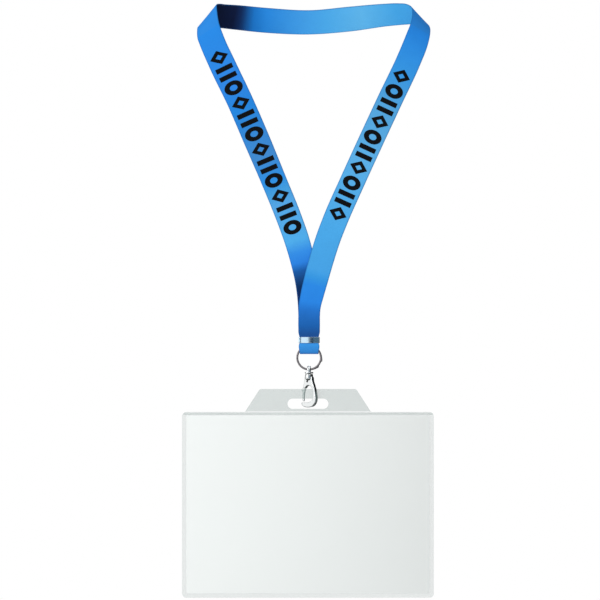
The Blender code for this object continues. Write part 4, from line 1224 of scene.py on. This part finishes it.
class LANYARD_OT_card(bpy.types.Operator):
    """Makes the blank insert card"""
    bl_idname = "lanyard.card"
    bl_label = "Card"

    def execute(self, context):
        settings = context.scene.lanyard_holder
        outline = rounded_rectangle(CARD_LOW.x, CARD_HIGH.x, CARD_LOW.z, CARD_HIGH.z, CARD_CORNER, 6)
        half = (CARD_HIGH.y - CARD_LOW.y) / 2
        points, faces = slab([outline], rim_rows(half, CARD_EDGE, 2))
        card = new_piece("blank_card", points + (0, (CARD_HIGH.y + CARD_LOW.y) / 2, 0), faces,
                         card_stock(settings.card), 30)
        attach(card, "card")
        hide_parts("insert_card")
        return {"FINISHED"}


# ---------------------------------------------------------------- stage

FRAME_CENTRE = (-8.0 * MM, HANG_Y, -244.6 * MM)     # what the camera looks straight at
SENSOR_WIDTH = 36                       # millimetres
FLOOR_HALF = 1.5
LAMP_AIM_Z = -0.28
LAMPS = (                               # name, place, size, share of the key light's power
    ("key_lamp", (-0.86, -1.1, 0.1), 0.9, 1.0),
    ("fill_lamp", (1.6, -1.6, 0.2), 1.4, 0.25))
CARD_HEIGHT = 1.8
REFLECTION_CARDS = (                    # name, angle in degrees, distance, width, colour
    ("card_left_behind", -148, 0.9, 1.04, "#33383B"),
    ("card_left", -31, 1.1, 0.66, "#8B9CA8"),
    ("card_front", 2.2, 2.7, 0.226, "#2A4660"),
    ("card_right_front", 19, 2.7, 1.42, "#6C8B9E"),
    ("card_right", 57, 0.9, 0.78, "#101418"),
    ("card_far_right", 102, 0.9, 0.78, "#101418"),
    ("card_right_behind", 147, 0.9, 0.78, "#101418"))
FLOOR_CARD_SIDE = 1.1
FLOOR_CARD_DROP = 0.12                  # below the pocket
FLOOR_CARD_COLOUR = "#101418"


def flat_sheet(context, name, middle, side, up, finish):
    """A four-cornered sheet: its middle, and from there to the middles of two of its sides."""
    corners = (middle - side - up, middle + side - up, middle + side + up, middle - side + up)
    mesh = bpy.data.meshes.new(name)
    mesh.from_pydata([tuple(corner) for corner in corners], [], [(0, 1, 2, 3)])
    mesh.materials.append(finish)
    sheet = bpy.data.objects.new(name, mesh)
    context.scene.collection.objects.link(sheet)
    return sheet


class LANYARD_OT_stage(bpy.types.Operator):
    """Sets up the camera, the floor, the lamps and the even light of a pale room"""
    bl_idname = "lanyard.stage"
    bl_label = "Stage"

    def execute(self, context):
        settings = context.scene.lanyard_stage
        x, y, z = FRAME_CENTRE
        camera = bpy.data.objects.new("camera", bpy.data.cameras.new("camera"))
        camera.data.lens = settings.lens
        camera.data.sensor_width = SENSOR_WIDTH
        camera.location = (x, y - settings.distance, z)
        camera.rotation_euler = (math.pi / 2, 0, 0)
        context.scene.collection.objects.link(camera)
        context.scene.camera = camera
        context.scene.view_settings.view_transform = "Standard"

        pocket_z = CAD_BOUNDS[0][2]
        floor = flat_sheet(context, "floor", Vector((0, 0, pocket_z - settings.floor_drop)),
                           Vector((FLOOR_HALF, 0, 0)), Vector((0, FLOOR_HALF, 0)),
                           pale_floor(settings.floor))

        for name, place, size, share in LAMPS:
            self.lamp(context, name, place, size, settings.key * share)
        for name, angle, distance, width, colour in REFLECTION_CARDS:
            self.upright_card(context, name, math.radians(angle), distance, width, colour)
        half = FLOOR_CARD_SIDE / 2
        self.reflection_card(context, "card_below", Vector((0, HANG_Y, pocket_z - FLOOR_CARD_DROP)),
                             Vector((half, 0, 0)), Vector((0, half, 0)), FLOOR_CARD_COLOUR)
        self.room_light(context, settings.sky)
        return {"FINISHED"}

    def lamp(self, context, name, place, size, power):
        """A square lamp that faces the middle of the object and stays out of the picture."""
        light = bpy.data.lights.new(name, "AREA")
        light.size = size
        light.energy = power
        placed = bpy.data.objects.new(name, light)
        placed.visible_camera = False
        placed.location = place
        towards = Vector((0, HANG_Y, LAMP_AIM_Z)) - Vector(place)
        placed.rotation_euler = towards.to_track_quat("-Z", "Y").to_euler()
        context.scene.collection.objects.link(placed)

    def upright_card(self, context, name, angle, distance, width, colour):
        """A tall card upright and facing the hook. Its angle is measured at the hook from the
        front, positive to the right."""
        middle = Vector((distance * math.sin(angle), HANG_Y - distance * math.cos(angle),
                         FRAME_CENTRE[2]))
        side = Vector((math.cos(angle), math.sin(angle), 0)) * width / 2
        up = Vector((0, 0, CARD_HEIGHT / 2))
        self.reflection_card(context, name, middle, side, up, colour)

    def reflection_card(self, context, name, middle, side, up, colour):
        """A matt card that only the metal's reflections see."""
        finish = new_material(name, linear(colour), 0.9)[0]
        card = flat_sheet(context, name, middle, side, up, finish)
        card.visible_camera = False
        card.visible_diffuse = False
        card.visible_shadow = False

    def room_light(self, context, strength):
        """An even pale room, and plain white where the camera or a reflection sees past the object."""
        world = bpy.data.worlds.new("pale_room")
        world.use_nodes = True
        tree = world.node_tree
        room = tree.nodes["Background"]
        room.inputs["Color"].default_value = (1, 1, 1, 1)
        room.inputs["Strength"].default_value = strength
        white = node(tree, "ShaderNodeBackground", {"Color": (1, 1, 1, 1), "Strength": 1.0})
        path = node(tree, "ShaderNodeLightPath").outputs
        seen = node(tree, "ShaderNodeMath", {0: path["Is Camera Ray"], 1: path["Is Glossy Ray"]},
                    operation="MAXIMUM").outputs[0]
        both = node(tree, "ShaderNodeMixShader", {0: seen, 1: room.outputs[0], 2: white.outputs[0]})
        tree.links.new(both.outputs[0], tree.nodes["World Output"].inputs["Surface"])
        context.scene.world = world


# ---------------------------------------------------------------- panel and run

STEPS_IN_ORDER = (LANYARD_OT_stage, LANYARD_OT_ribbon, LANYARD_OT_crimp, LANYARD_OT_ring,
                  LANYARD_OT_swivel, LANYARD_OT_hook, LANYARD_OT_gate, LANYARD_OT_pocket,
                  LANYARD_OT_card)


class LANYARD_PT_panel(bpy.types.Panel):
    """Lists the pieces and their settings in the sidebar"""
    bl_label = "Lanyard Badge Holder"
    bl_idname = "LANYARD_PT_panel"
    bl_space_type = "VIEW_3D"
    bl_region_type = "UI"
    bl_category = "Lanyard"

    def draw(self, context):
        for step in STEPS_IN_ORDER:
            self.layout.operator(step.bl_idname)
        for group in SETTINGS:
            box = self.layout.box()
            settings = getattr(context.scene, group)
            for name in settings.bl_rna.properties.keys():
                if name not in ("rna_type", "name"):
                    box.prop(settings, name)


SETTINGS = {"lanyard_ribbon": RibbonSettings, "lanyard_metal": MetalSettings,
            "lanyard_holder": HolderSettings, "lanyard_stage": StageSettings}


def register():
    for group in (*SETTINGS.values(), *STEPS_IN_ORDER, LANYARD_PT_panel):
        bpy.utils.register_class(group)
    for name, group in SETTINGS.items():
        setattr(bpy.types.Scene, name, PointerProperty(type=group))


def unregister():
    for name in SETTINGS:
        delattr(bpy.types.Scene, name)
    for group in reversed((*SETTINGS.values(), *STEPS_IN_ORDER, LANYARD_PT_panel)):
        bpy.utils.unregister_class(group)


def main():
    register()
    for step in STEPS_IN_ORDER:
        category, name = step.bl_idname.split(".")
        getattr(getattr(bpy.ops, category), name)()


if __name__ == "__main__":
    main()
